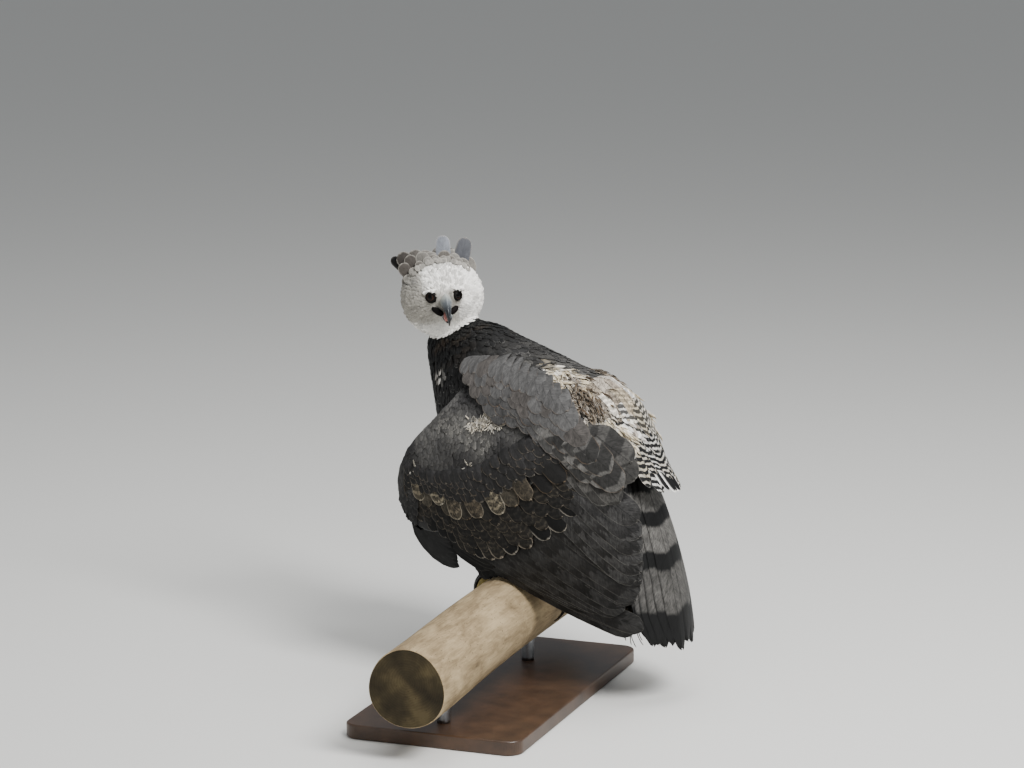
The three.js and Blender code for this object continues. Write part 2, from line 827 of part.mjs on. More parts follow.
function makeBase() {
  const [length, width, height] = BASE_SIZE;
  const corner = 26;
  const edge = 3;
  const [a, b] = [length / 2 - edge, width / 2 - edge];
  const shape = new THREE.Shape();
  shape.moveTo(-a + corner, -b);
  shape.absarc(a - corner, -b + corner, corner, -Math.PI / 2, 0);
  shape.absarc(a - corner, b - corner, corner, 0, Math.PI / 2);
  shape.absarc(-a + corner, b - corner, corner, Math.PI / 2, Math.PI);
  shape.absarc(-a + corner, -b + corner, corner, Math.PI, 1.5 * Math.PI);
  const g = new THREE.ExtrudeGeometry(shape, {
    depth: height - 2 * edge,
    bevelThickness: edge,
    bevelSize: edge,
    bevelSegments: 1,
    curveSegments: 4,
  });
  const middle = LOG_ALONG.clone().multiplyScalar(BASE_MIDDLE);
  g.rotateZ(rad(LOG_TURN)).translate(middle.x, middle.y, BASE_TOP - height + edge);
  return solidFrom(g);
}

// The scene graph

const eagle = new THREE.Group();
const baseMiddle = LOG_ALONG.clone().multiplyScalar(BASE_MIDDLE);
eagle.position.set(-baseMiddle.x, -baseMiddle.y, BASE_SIZE[2] - BASE_TOP);
const headGroup = new THREE.Group();
headGroup.position.set(...HEAD_PLACE);
headGroup.rotation.set(0, rad(HEAD_ROLL), rad(HEAD_TURN), "ZYX");
eagle.add(headGroup);

function addMesh(group, name, solid, [color, roughness, metalness]) {
  const { numProp, vertProperties, triVerts } = solid.getMesh();
  const places = new Float32Array((vertProperties.length / numProp) * 3);
  for (let i = 0; i < places.length / 3; i++)
    places.set(vertProperties.subarray(i * numProp, i * numProp + 3), i * 3);
  const geometry = new THREE.BufferGeometry()
    .setAttribute("position", new THREE.BufferAttribute(places, 3))
    .setIndex(new THREE.BufferAttribute(triVerts, 1));
  geometry.computeVertexNormals();
  const mesh = new THREE.Mesh(geometry, new THREE.MeshStandardMaterial({ color, roughness, metalness }));
  mesh.name = name;
  group.add(mesh);
}

const SIDES = { left: 1, right: -1 };

addMesh(headGroup, "bill_upper", makeUpperBill(), HORN);
addMesh(headGroup, "bill_lower", makeLowerBill(), HORN);
addMesh(headGroup, "tongue", makeTongue(), PINK);
addMesh(
  headGroup,
  "head",
  makeHead([makeUpperBill(GAP), makeLowerBill(GAP), makeTongue(GAP)]),
  PALE,
);
for (const [name, side] of Object.entries(SIDES))
  addMesh(headGroup, `eye_${name}`, ellipsoid(eyeSide(side), Array(3).fill(EYE_RADIUS), 12, 9), EYE);

const headAround = headCore(2 * GAP).rotate([0, HEAD_ROLL, HEAD_TURN]).translate(HEAD_PLACE);
const torsoAround = torsoCore(GAP);
const wingAround = [torsoAround, neckCore(GAP), ...rumpCoverts(GAP)];
addMesh(eagle, "neck", makeNeck(headAround), DARK);
addMesh(eagle, "torso", makeTorso(makeTail(GAP)), SLATE);
addMesh(eagle, "tail", makeTail(), DARK);
addMesh(eagle, "wing_left", makeWing(leftPlace, wingAround), SLATE);
addMesh(eagle, "wing_right", makeWing(rightPlace, [...wingAround, makeTail(GAP)]), SLATE);

const logAround = makeLog(GAP);
for (const [name, side] of Object.entries(SIDES)) {
  const thigh = makeThigh(side, torsoAround);
  addMesh(eagle, `thigh_${name}`, thigh, PALE);
  const thighAround = makeThigh(side, torsoAround, GAP);
  const footAround = makeFoot(side, GAP);
  addMesh(eagle, `shank_${name}`, makeShank(side, thighAround, footAround), SKIN);
  addMesh(eagle, `foot_${name}`, makeFoot(side), SKIN);
  for (const toe of TOES)
    addMesh(eagle, `claw_${name}_${toe.name}`, makeClaw(side, toe, footAround), HORN);
}

addMesh(eagle, "perch_log", makeLog(), WOOD);
ROD_PLACES.forEach((along, i) => addMesh(eagle, `stand_rod_${i + 1}`, makeRod(along, logAround), STEEL));
addMesh(eagle, "stand_base", makeBase(), BASE_WOOD);

const part = new THREE.Group();
part.add(eagle);
export default part;
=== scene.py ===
# A life-size harpy eagle, an adult female, gripping a short cut log on a plain display stand.
# Lengths are millimetres in the bird's own frame until row() turns them to metres: the bird faces
# -Y, its left side is at +X, +Z is up, and the origin is between its feet on top of the log.
import math
from collections import namedtuple

import bmesh
import bpy
import numpy as np
from mathutils import Matrix, Vector
from mathutils.bvhtree import BVHTree
from mathutils.kdtree import KDTree


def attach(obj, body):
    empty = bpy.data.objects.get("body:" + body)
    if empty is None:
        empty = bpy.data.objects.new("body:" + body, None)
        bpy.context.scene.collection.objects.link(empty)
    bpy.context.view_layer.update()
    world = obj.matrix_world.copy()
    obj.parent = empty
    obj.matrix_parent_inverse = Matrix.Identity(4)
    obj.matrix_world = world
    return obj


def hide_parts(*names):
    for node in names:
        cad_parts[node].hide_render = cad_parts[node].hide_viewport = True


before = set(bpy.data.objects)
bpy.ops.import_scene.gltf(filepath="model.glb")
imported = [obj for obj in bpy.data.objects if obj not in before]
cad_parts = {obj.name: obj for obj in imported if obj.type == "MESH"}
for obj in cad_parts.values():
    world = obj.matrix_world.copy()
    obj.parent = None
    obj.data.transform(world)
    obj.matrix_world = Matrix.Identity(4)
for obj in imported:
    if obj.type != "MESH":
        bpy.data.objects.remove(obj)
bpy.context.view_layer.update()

# Driving dimensions
MM = 0.001
LOG_RADIUS = 63.0
LOG_FAR_END = -128.0
LOG_NEAR_END = 556.0
LOG_TURN = math.radians(14.6)
BASE_SIZE = (600.0, 300.0, 24.0)
BASE_MIDDLE = 165.0
BASE_CORNER = 26.0  # radius of its corners seen from above
BASE_EDGE = 3.0
ROD_RADIUS = 11.0
ROD_PLACES = (10.0, 400.0)
ROD_LENGTH = 46.0
HEAD_PLACE = (13.4, -172.0, 444.0)
HEAD_TURN = math.radians(132)
HEAD_ROLL = math.radians(-4)
EYE_RADIUS = 12.2
EYE_PLACES = {-1: (-18.8, -37.0, 2.4), 1: (16.8, -37.6, 2.4)}
GAZE_TURNS = {-1: math.radians(40), 1: math.radians(29)}
GAZE_RISE = math.radians(7)
TAIL_LENGTH = 348.0
WING_DEPTH = 154.0
FOOT_APART = 50.0
COAT_DEPTH = 9.0  # of the body's small feathers over the skin
FACE_DEPTH = 6.0
ARM_DEPTH = 6.0
SIDES = ((1, "left"), (-1, "right"))

UP = np.array([0.0, 0.0, 1.0])
LEFT = np.array([1.0, 0, 0])
LOG_ALONG = np.array([math.cos(LOG_TURN), math.sin(LOG_TURN), 0.0])
LOG_ACROSS = np.array([-math.sin(LOG_TURN), math.cos(LOG_TURN), 0.0])
BASE_TOP = -2 * LOG_RADIUS - ROD_LENGTH
ORIGIN = -BASE_MIDDLE * LOG_ALONG + UP * (BASE_SIZE[2] - BASE_TOP)

rng = np.random.default_rng(7)


def row(points):
    """Points of the bird's frame, in millimetres, as metres in the shared frame."""
    return (np.asarray(points, float) + ORIGIN) * MM


def linear(code):
    """An sRGB hex value as linear red, green and blue."""
    parts = np.array([int(code[i : i + 2], 16) / 255 for i in (1, 3, 5)])
    return np.where(parts <= 0.04045, parts / 12.92, ((parts + 0.055) / 1.055) ** 2.4)


def blend(a, b, share):
    """From a to b by a share for each row."""
    return a + (b - a) * np.asarray(share)[..., None]


def layered(base, *layers):
    """Colours with more laid over them, each by a share for each row."""
    for colour, share in layers:
        base = blend(base, colour, share)
    return base


def smooth(x, low=0.0, high=1.0):
    """0 up to low, 1 from high on, and an even rise between them."""
    t = np.clip((np.asarray(x, float) - low) / (high - low), 0, 1)
    return t * t * (3 - 2 * t)


def unit(v):
    return v / np.maximum(np.linalg.norm(v, axis=-1, keepdims=True), 1e-9)


def spline(rows, count):
    """count rows on one smooth curve through the rows of a table."""
    rows = np.array(rows, float)
    padded = np.vstack([2 * rows[0] - rows[1], rows, 2 * rows[-1] - rows[-2]])
    place = np.linspace(0, len(rows) - 1, count)
    i = np.minimum(place.astype(int), len(rows) - 2)
    t = (place - i)[:, None]
    a, b, c, d = (padded[i + k] for k in range(4))
    bend = (2 * a - 5 * b + 4 * c - d) * t**2 + (3 * b - a - 3 * c + d) * t**3
    return 0.5 * (2 * b + (c - a) * t + bend)


def circle(sides, start=0.0):
    turn = 2 * math.pi * (np.arange(sides) + start) / sides
    return np.cos(turn), np.sin(turn)


# Colours of the plumage, as sRGB
INK = linear("#0d0d0d")
CHARCOAL = linear("#1c1b1a")
SLATE = linear("#302f2f")
STEEL_GREY = linear("#504f4e")
ASH = linear("#7b7872")
WARM_GREY = linear("#938e84")
PALE_GREY = linear("#bab6ad")
CHALK = linear("#f1eee8")
CREAM = linear("#c9bb9f")
TAN = linear("#857158")
UMBER = linear("#443627")
PEAT = linear("#38342d")
LOAM = linear("#3c372f")
SEPIA = linear("#49433e")
DRIFTWOOD = linear("#625848")
RUSSET = linear("#7a634e")
KHAKI = linear("#817865")
OATMEAL = linear("#aea796")
LEAD = linear("#4e4f53")
BLUE_GREY = linear("#777a80")


# Surfaces


def placed(name, data):
    """A new object in the scene, at the origin."""
    made = bpy.data.objects.new(name, data)
    bpy.context.scene.collection.objects.link(made)
    return made


def new_piece(name, bm, material, smooth_faces=True):
    """A finished bmesh, in metres, as an object at the origin."""
    mesh = bpy.data.meshes.new(name)
    for face in bm.faces:
        face.smooth = smooth_faces and len(face.verts) < 5
    bm.to_mesh(mesh)
    bm.free()
    if material:
        mesh.materials.append(material)
    return placed(name, mesh)


def finished(piece, slot, *nodes):
    """Tells the frame what bears the piece and hides the nodes that it stands for. Its colour slot is not
    used.
    """
    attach(piece, "root")
    if nodes:
        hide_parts(*nodes)


def loft(bm, rings, joined=False):
    """A closed body through rings of points, in metres. Its ends are capped, or joined to each
    other."""
    made = []
    for i, ring in enumerate(rings):
        capped = not joined and i in (0, len(rings) - 1)
        verts = bmesh.ops.create_circle(bm, cap_ends=capped, segments=len(ring), radius=MM)["verts"]
        for vert, place in zip(verts, ring):
            vert.co = place
        made.append(list({edge for vert in verts for edge in vert.link_edges}))
    following = made[1:] + made[:1] if joined else made[1:]
    for near, far in zip(made, following):
        bmesh.ops.bridge_loops(bm, edges=near + far)
    bmesh.ops.recalc_face_normals(bm, faces=bm.faces)


def lofted(name, rings, material):
    bm = bmesh.new()
    loft(bm, rings)
    return new_piece(name, bm, material)


def give(mesh, name, values, kind="FLOAT"):
    """Gives each vertex its number or colour, which a material reads by name."""
    layer = mesh.attributes.new(name, kind, "POINT")
    layer.data.foreach_set("color" if kind == "FLOAT_COLOR" else "value", values)


def tube_rings(path, radii, sides, up, flat=1.0):
    """Rings of a round tube along a path, steered by up, with flat the share left along it."""
    path = np.array(path, float)
    along = unit(np.gradient(path, axis=0))
    side = unit(np.cross(up, along))
    over = np.cross(along, side)
    c, s = circle(sides, 0.5)
    radii = np.asarray(radii, float)[:, None, None]
    return path[:, None] + radii * (side[:, None] * c[:, None] + over[:, None] * flat * s[:, None])


# Body, head, legs and arms as the solids have them, less the depth of their coat

BODY_RINGS = [
    # back y, back z, front y, front z, half width, and how far it stands to the bird's left
    [-146, 424, -202, 384, 26, -14],
    [-126, 411, -217, 364, 33, -13],
    [-106, 402, -222, 344, 40, -11],
    [-62, 399, -205, 306, 59, -3],
    [-24, 385, -184, 254, 82, 0],
    [30, 369, -164, 186, 101, 0],
    [85, 352, -126, 118, 112, 0],
    [142, 335, -66, 74, 113, 0],
    [192, 309, 22, 66, 104, 0],
    [228, 274, 98, 92, 86, 0],
    [244, 238, 158, 130, 60, 0],
    [238, 206, 194, 164, 32, 0],
]
HEAD_RINGS = [
    # y, middle z, half width, reach up and down, in the head's own frame
    [-49, -6, 15, 13, 16],
    [-43, -5, 29, 23, 28],
    [-34, -4, 42, 35, 41],
    [-22, -4, 54, 46, 55],
    [-8, -5, 65, 57, 66],
    [4, -6, 71, 64, 70],
    [12, -6, 72, 66, 70],
    [20, -6, 69, 66, 66],
    [30, -8, 60, 62, 60],
    [44, -10, 51, 54, 54],
    [58, -12, 38, 41, 42],
    [66, -12, 23, 26, 27],
    [70, -12, 8, 9, 9],
]
HEAD_MATRIX = (
    Matrix.Translation(HEAD_PLACE)
    @ Matrix.Rotation(HEAD_TURN, 4, "Z")
    @ Matrix.Rotation(HEAD_ROLL, 4, "Y")
)
HEAD_AXES = np.array(HEAD_MATRIX)[:3, :3]


def from_head(points):
    """Points or, less the head's place, directions of the head's frame in the bird's."""
    return np.asarray(points, float) @ HEAD_AXES.T + np.array(HEAD_PLACE)


def to_head(points):
    return (np.asarray(points, float) - np.array(HEAD_PLACE)) @ HEAD_AXES


def body_rings(depth, count=60, sides=48):
    table = spline(BODY_RINGS, count)
    back = np.stack([table[:, 5], table[:, 0], table[:, 1]], -1)
    front = np.stack([table[:, 5], table[:, 2], table[:, 3]], -1)
    middle = (back + front) / 2
    reach = (back - front) / 2
    length = np.linalg.norm(reach, axis=1)[:, None]
    c, s = circle(sides)
    over = reach * (1 - depth / length)
    half = np.maximum(table[:, 4] - depth, 2)
    across = half[:, None] * s
    rings = middle[:, None] + over[:, None] * c[:, None]
    rings[..., 0] += across
    return rings


def head_rings(depth, count=48, sides=56):
    y, z, half, up, down = spline(HEAD_RINGS, count).T
    c, s = circle(sides, 0.5)
    less = np.minimum(depth, 0.5 * half)[:, None]
    rise = np.where(c > 0, up[:, None], down[:, None]) - less
    local = np.stack(
        [(half[:, None] - less) * s, np.repeat(y[:, None], sides, 1), z[:, None] + rise * c], -1
    )
    return from_head(local)


def at_log(along, degrees, reach):
    """A point by its place along the log, its angle behind the log's crest and its distance
    from the log's axis."""
    turn = np.radians(degrees)[..., None]
    along = np.asarray(along, float)[..., None]
    reach = np.asarray(reach, float)[..., None]
    return (
        -LOG_RADIUS * UP
        + UP * reach * np.cos(turn)
        + LOG_ACROSS * reach * np.sin(turn)
        + LOG_ALONG * along
    )


THIGH_RADII = [[44], [50], [51], [47], [38], [26]]


def leg_line(side):
    hip = np.array([side * 53, -30, 176])
    knee = np.array([side * 56, 8, 132])
    ankle = np.array([side * 55, 62, 84])
    foot = at_log(side * FOOT_APART, 2, LOG_RADIUS + 18)
    return hip, knee, ankle, foot


def thigh_rings(side, depth, count=24, sides=36):
    hip, knee, ankle, _ = leg_line(side)
    path = spline([hip, knee, ankle], count)
    radii = spline(THIGH_RADII, count)[:, 0] - depth
    return tube_rings(path, radii, sides, LEFT)


# Wings: the outer face bulges over the flank as x = flank(y, z). The right one is a mirror image,
# folded closer.

WING_MIDDLE = (-40.0, 60.0)
WING_REACH = (450.0, 300.0)
SHOULDER = np.array([70.0, -60.0, 260.0])
RIGHT_SHRINK = np.array([-1.0, 0.9, 0.97])
RIGHT_SHOULDER = np.array([-70.0, -94.0, 260.0])
RIGHT_TURN = np.array(
    Matrix.Rotation(math.radians(-9), 3, "Z") @ Matrix.Rotation(math.radians(-6), 3, "X")
)


def flank(y, z):
    a = (y - WING_MIDDLE[0]) / WING_REACH[0]
    b = np.abs(z - WING_MIDDLE[1]) / WING_REACH[1]
    return WING_DEPTH * np.sqrt(np.maximum(0.04, 1 - a**2 - b**3))


def on_wing(y, z, height):
    step = 2.0
    slope_y = (flank(y + step, z) - flank(y - step, z)) / (2 * step)
    slope_z = (flank(y, z + step) - flank(y, z - step)) / (2 * step)
    out = unit(np.stack([np.ones_like(slope_y), -slope_y, -slope_z], -1))
    return np.stack([flank(y, z), y, z], -1) + out * np.asarray(height)[..., None]


def laid_on_wing(place, y, z, way_y, way_z, height):
    """Points over the flank of one wing, and the way that feathers lie there."""
    points = place(on_wing(y, z, height))
    return points, unit(place(on_wing(y + 2 * way_y, z + 2 * way_z, height)) - points)


def left_wing(points):
    return points


def right_wing(points):
    return ((points - SHOULDER) * RIGHT_SHRINK) @ RIGHT_TURN.T + RIGHT_SHOULDER


WINGS = {"left": left_wing, "right": right_wing}

ARM_OUTLINE = [
    # y, z
    [-58, 330],
    [-106, 268],
    [-156, 212],
    [-179, 156],
    [-168, 94],
    [-128, 62],
    [-76, 62],
    [-10, 88],
    [60, 114],
    [124, 150],
    [170, 196],
    [200, 244],
    [172, 292],
    [90, 326],
    [10, 338],
    [-58, 330],
]
ARM_MIDDLE = np.array([-10.0, 200.0])
ARM_OUTER = 10.0  # heights of its faces and its rim over the flank
ARM_INNER = -24.0
ARM_RIM = -6.0
ARM_SHARES = (0.12, 0.4, 0.65, 0.82, 0.93, 0.985)  # of the way from its middle to the rim


def arm_rings(place, depth, sides=64):
    rim = spline(ARM_OUTLINE, sides + 1)[:-1]

    def shell(share, face):
        p = ARM_MIDDLE + (rim - ARM_MIDDLE) * share * (1 - depth / 160)
        level = ARM_RIM + (face - ARM_RIM) * math.sqrt(1 - share**5)
        return place(on_wing(p[:, 0], p[:, 1], np.full(sides, level)))

    outer = [shell(share, ARM_OUTER - depth) for share in ARM_SHARES]
    inner = [shell(share, ARM_INNER + depth) for share in reversed(ARM_SHARES)]
    return [*outer, shell(0.999, ARM_RIM), *inner]


# Skin: one closed surface under all of the coat

SKIN_VOXEL = 0.0034  # metres
SKIN_SMOOTHING = 6  # passes
EYE_SPOTS = {side: np.array(place) for side, place in EYE_PLACES.items()}
GAZES = {
    side: np.array([
        side * math.sin(turn) * math.cos(GAZE_RISE),
        -math.cos(turn) * math.cos(GAZE_RISE),
        math.sin(GAZE_RISE),
    ])
    for side, turn in GAZE_TURNS.items()
}
SOCKET_RADIUS = EYE_RADIUS + 0.9
OPENING = math.radians(50)  # half angle of the socket's mouth
SIGHT = math.radians(45)  # half angle that stays free of feathers' tips
OPENING_SHARES = {-1: (1.0, 0.86), 1: (0.55, 0.88)}  # of its width and height


def brow_rings(side):
    """The bony ridge over each eye."""
    path = spline([[side * 8, -43, 10.5], [side * 21, -42, 13], [side * 34, -33, 14]], 14)
    radii = spline([[1], [4.6], [1.5]], 14)[:, 0]
    return from_head(tube_rings(path, radii, 16, UP, 0.7))


def make_skin():
    bm = bmesh.new()
    bodies = [body_rings(COAT_DEPTH), head_rings(FACE_DEPTH)]
    bodies += [thigh_rings(side, COAT_DEPTH) for side in (-1, 1)]
    bodies += [arm_rings(place, ARM_DEPTH) for place in WINGS.values()]
    bodies += [brow_rings(side) for side in (-1, 1)]
    tail_stump = spline([[0, 206, 240], [0, 210, 206], [0, 216, 182]], 12)
    stump_radii = spline([[8], [24], [27], [20], [6]], 12)[:, 0]
    bodies.append(tube_rings(tail_stump, stump_radii, 24, LEFT, 0.7))
    for rings in bodies:
        part = bmesh.new()
        loft(part, row(rings))
        spare = bpy.data.meshes.new("spare")
        part.to_mesh(spare)
        part.free()
        bm.from_mesh(spare)
        bpy.data.meshes.remove(spare)
    rough = new_piece("rough", bm, None)
    remesh = rough.modifiers.new("remesh", "REMESH")
    remesh.mode = "VOXEL"
    remesh.voxel_size = SKIN_VOXEL
    even = rough.modifiers.new("even", "SMOOTH")
    even.iterations = SKIN_SMOOTHING
    evaluated = rough.evaluated_get(bpy.context.evaluated_depsgraph_get())
    mesh = bpy.data.meshes.new_from_object(evaluated)
    bpy.data.objects.remove(rough)
    skin = placed("skin", mesh)
    mesh.shade_smooth()
    bulge_over_eyes(mesh)
    unwrap(skin)
    return skin


def mesh_points(mesh):
    """A mesh's vertices in millimetres, in the bird's frame."""
    flat = np.empty(len(mesh.vertices) * 3)
    mesh.vertices.foreach_get("co", flat)
    return flat.reshape(-1, 3) / MM - ORIGIN


def bulge_over_eyes(mesh):
    """The skin runs over both eyeballs."""
    points = mesh_points(mesh)
    for spot in EYE_SPOTS.values():
        middle = from_head(spot)
        away = points - middle
        near = np.linalg.norm(away, axis=1) < SOCKET_RADIUS
        points[near] = middle + unit(away[near]) * SOCKET_RADIUS
    mesh.vertices.foreach_set("co", row(points).ravel())
    mesh.update()


def eye_axes(side):
    """Away from the bill and up, square to the gaze."""
    beside = unit(np.cross(GAZES[side], UP)) * side
    return beside, np.cross(beside, GAZES[side]) * side


def in_opening(q, side, reach, angle):
    """Which points of the head's frame lie in front of an eye."""
    away = q - EYE_SPOTS[side]
    far = np.linalg.norm(away, axis=-1)
    beside, above = eye_axes(side)
    wide, high = OPENING_SHARES[side]
    ahead = away @ GAZES[side]
    spread = np.sqrt((away @ beside / wide) ** 2 + (away @ above / high) ** 2 + ahead**2)
    return (far < reach) & (ahead > math.cos(angle) * spread)


def open_sockets(mesh):
    """The skin's part in front of each eye sinks behind the eyeball."""
    points = mesh_points(mesh)
    q = to_head(points)
    for side, spot in EYE_SPOTS.items():
        sunk = in_opening(q, side, SOCKET_RADIUS + 1.5, OPENING)
        q[sunk] = spot - GAZES[side] * 4
    mesh.vertices.foreach_set("co", row(from_head(q)).ravel())
    mesh.update()


def unwrap(piece):
    bpy.context.view_layer.objects.active = piece
    piece.select_set(True)
    bpy.ops.object.mode_set(mode="EDIT")
    bpy.ops.mesh.select_all(action="SELECT")
    bpy.ops.uv.smart_project(angle_limit=math.radians(66), island_margin=0.004)
    bpy.ops.object.mode_set(mode="OBJECT")
    piece.select_set(False)
    piece.data.uv_layers[0].name = "OFBake"


class Ground:
    """The skin as a surface to lay feathers on."""

    def __init__(self, mesh):
        points = mesh_points(mesh)
        faces = [tuple(face.vertices) for face in mesh.polygons]
        self.tree = BVHTree.FromPolygons([Vector(p) for p in points], faces)
        uv = np.empty(len(mesh.loops) * 2)
        mesh.uv_layers["OFBake"].data.foreach_get("uv", uv)
        uv = uv.reshape(-1, 2)
        self.face_uv = np.array([uv[list(face.loop_indices)].mean(0) for face in mesh.polygons])

    def normals(self, points):
        return np.array([self.tree.find_nearest(Vector(p))[1] for p in points])

    def within(self, points, reach):
        """Which points lie within reach of the skin."""
        return np.array([self.tree.find_nearest(Vector(p), reach)[0] is not None for p in points])

    def comb(self, roots, lies, lengths, stations):
        """Each feather's middle line, laid on the skin from its root along its lie."""
        count = len(roots)
        places = np.empty((count, len(stations), 3))
        normals = np.empty_like(places)
        ways = np.empty_like(places)
        bake = np.empty((count, 2))
        for i in range(count):
            place = Vector(roots[i])
            way = Vector(lies[i])
            last = 0.0
            for k, t in enumerate(stations):
                place = place + way * ((t - last) * lengths[i])
                place, normal, face, _ = self.tree.find_nearest(place)
                if k == 0:
                    bake[i] = self.face_uv[face]
                way = way - normal * way.dot(normal)
                way.normalize()
                places[i, k] = place
                normals[i, k] = normal
                ways[i, k] = way
                last = t
        return places, normals, ways, bake


# Feathers: each is a closed vane of two sheets that share their rim. Its colours ride on it as
# attributes: base, with the strength of its mottles; fringe, with its strength; marks, which are
# the bars' period, their strength, a draw and the shaft's strength; and span, which is its length,
# half width and fringe width, so that the pattern keeps its real size on every feather.

Vanes = namedtuple("Vanes", "points thick look bake flip")
LOOK = ("base", "fringe", "marks", "span")
BAKE_PATCH = 0.003  # a small feather's part of the bake
# what a value of 1 stands for in the attributes, in millimetres
LONGEST = 400.0
WIDEST = 40.0
WIDEST_FRINGE = 10.0
LONGEST_BAR = 100.0


def feather_look(count, size, half, base, fringe, fringe_strength, fringe_width=1.5, period=40.0,
                 bar_strength=0.0, mottle=0.0, shaft=0.3, spread=0.2):
    """The rows of the four colour attributes. Tones vary a little between feathers."""
    tone = 1 + spread * (rng.random((count, 1)) - 0.5)
    rows = {key: np.zeros((count, 4)) for key in LOOK}
    rows["base"][:, :3] = np.clip(base * tone, 0, 1)
    rows["base"][:, 3] = mottle
    rows["fringe"][:, :3] = fringe
    rows["fringe"][:, 3] = fringe_strength
    rows["marks"][:, 0] = np.broadcast_to(period, count) / LONGEST_BAR
    rows["marks"][:, 1] = bar_strength
    rows["marks"][:, 2] = rng.random(count)
    rows["marks"][:, 3] = shaft
    rows["span"][:, 0] = np.broadcast_to(size, count) / LONGEST
    rows["span"][:, 1] = np.broadcast_to(half, count) / WIDEST
    rows["span"][:, 2] = np.broadcast_to(fringe_width, count) / WIDEST_FRINGE
    return rows


def vane_faces(stations, columns):
    """Corners of a vane's quads. The lower sheet's inner vertices follow all of the upper's."""
    upper = np.arange(stations * columns).reshape(stations, columns)
    lower = upper.copy()
    inner = (stations - 2) * (columns - 2)
    lower[1:-1, 1:-1] = stations * columns + np.arange(inner).reshape(stations - 2, columns - 2)

    def sheet(grid):
        corners = [grid[:-1, :-1], grid[:-1, 1:], grid[1:, 1:], grid[1:, :-1]]
        return np.stack(corners, -1).reshape(-1, 4)

    return np.vstack([sheet(upper), sheet(lower)[:, ::-1]])


def vane_piece(name, batches, material, slot, *nodes):
    """One mesh of all the vanes in the batches."""
    points, quads, coords, bakes, rims = [], [], [], [], []
    colours = {key: [] for key in LOOK}
    total = 0
    for batch in batches:
        n, s, c, _ = batch.points.shape
        if not n:
            continue
        normal = unit(np.cross(np.gradient(batch.points, axis=2), np.gradient(batch.points, axis=1)))
        if batch.flip:
            normal = -normal
        below = batch.points[:, 1:-1, 1:-1] - normal[:, 1:-1, 1:-1] * batch.thick
        every = np.concatenate([batch.points.reshape(n, -1, 3), below.reshape(n, -1, 3)], 1)
        faces = vane_faces(s, c)
        if batch.flip:
            faces = faces[:, ::-1]
        size = every.shape[1]
        quads.append((faces[None] + total + size * np.arange(n)[:, None, None]).reshape(-1, 4))
        points.append(every.reshape(-1, 3))
        t, a = np.meshgrid(STATIONS[s], np.linspace(0, 1, c), indexing="ij")
        local = np.stack([a, t], -1)
        local = np.concatenate([local.reshape(-1, 2), local[1:-1, 1:-1].reshape(-1, 2)])
        coords.append(np.tile(local, (n, 1)))
        bakes.append((batch.bake[:, None, :2] + local[None] * batch.bake[:, None, 2:]).reshape(-1, 2))
        rim = np.zeros((s, c), bool)
        rim[[0, -1]] = True
        rim[:, [0, -1]] = True
        rims.append(np.tile(np.concatenate([rim.ravel(), np.zeros(size - s * c, bool)]), n))
        for key in colours:
            colours[key].append(np.repeat(batch.look[key], size, axis=0))
        total += n * size
    points = row(np.concatenate(points))
    quads = np.concatenate(quads).astype(np.int32)
    mesh = bpy.data.meshes.new(name)
    mesh.vertices.add(len(points))
    mesh.vertices.foreach_set("co", points.ravel())
    mesh.loops.add(quads.size)
    mesh.loops.foreach_set("vertex_index", quads.ravel())
    mesh.polygons.add(len(quads))
    mesh.polygons.foreach_set("loop_start", np.arange(0, quads.size, 4, dtype=np.int32))
    mesh.polygons.foreach_set("use_smooth", np.ones(len(quads), bool))
    mesh.update(calc_edges=True)
    for key, values in (("OFBake", bakes), ("vane", coords)):
        layer = mesh.uv_layers.new(name=key)
        layer.data.foreach_set("uv", np.concatenate(values)[quads.ravel()].ravel())
    for key, values in colours.items():
        give(mesh, key, np.concatenate(values).ravel(), "FLOAT_COLOR")
    ends = np.empty(len(mesh.edges) * 2, np.int32)
    mesh.edges.foreach_get("vertices", ends)
    rim = np.concatenate(rims)[ends.reshape(-1, 2)].all(1)
    mesh.attributes.new("sharp_edge", "BOOLEAN", "EDGE").data.foreach_set("value", rim)
    mesh.materials.append(material)
    finished(placed(name, mesh), slot, *nodes)


# Stations along a vane, by how many it has: close together where the tip rounds off
STATIONS = {count: np.sin(np.linspace(0, math.pi / 2, count)) ** 1.25 for count in (5, 12, 16, 26)}
COAT_STATIONS = 5
COAT_THICKNESS = 0.25
ROOT_REACH = 5.0  # from the skin, for a place on a loft to bear a feather


def vane_width(t, roundness):
    """The share of its half width that a vane has at t, with a tip rounded over that share."""
    tip = np.sqrt(np.clip(1 - ((t - 1 + roundness) / roundness).clip(0) ** 2, 0.012, 1))
    return (0.3 + 0.7 * smooth(t, 0, 0.32)) * tip


def frayed(count, columns, depth):
    """How far each column of a vane overshoots or falls short at the tip, as a share of it."""
    return depth * (2 * rng.random((count, 1, columns)) - 1)


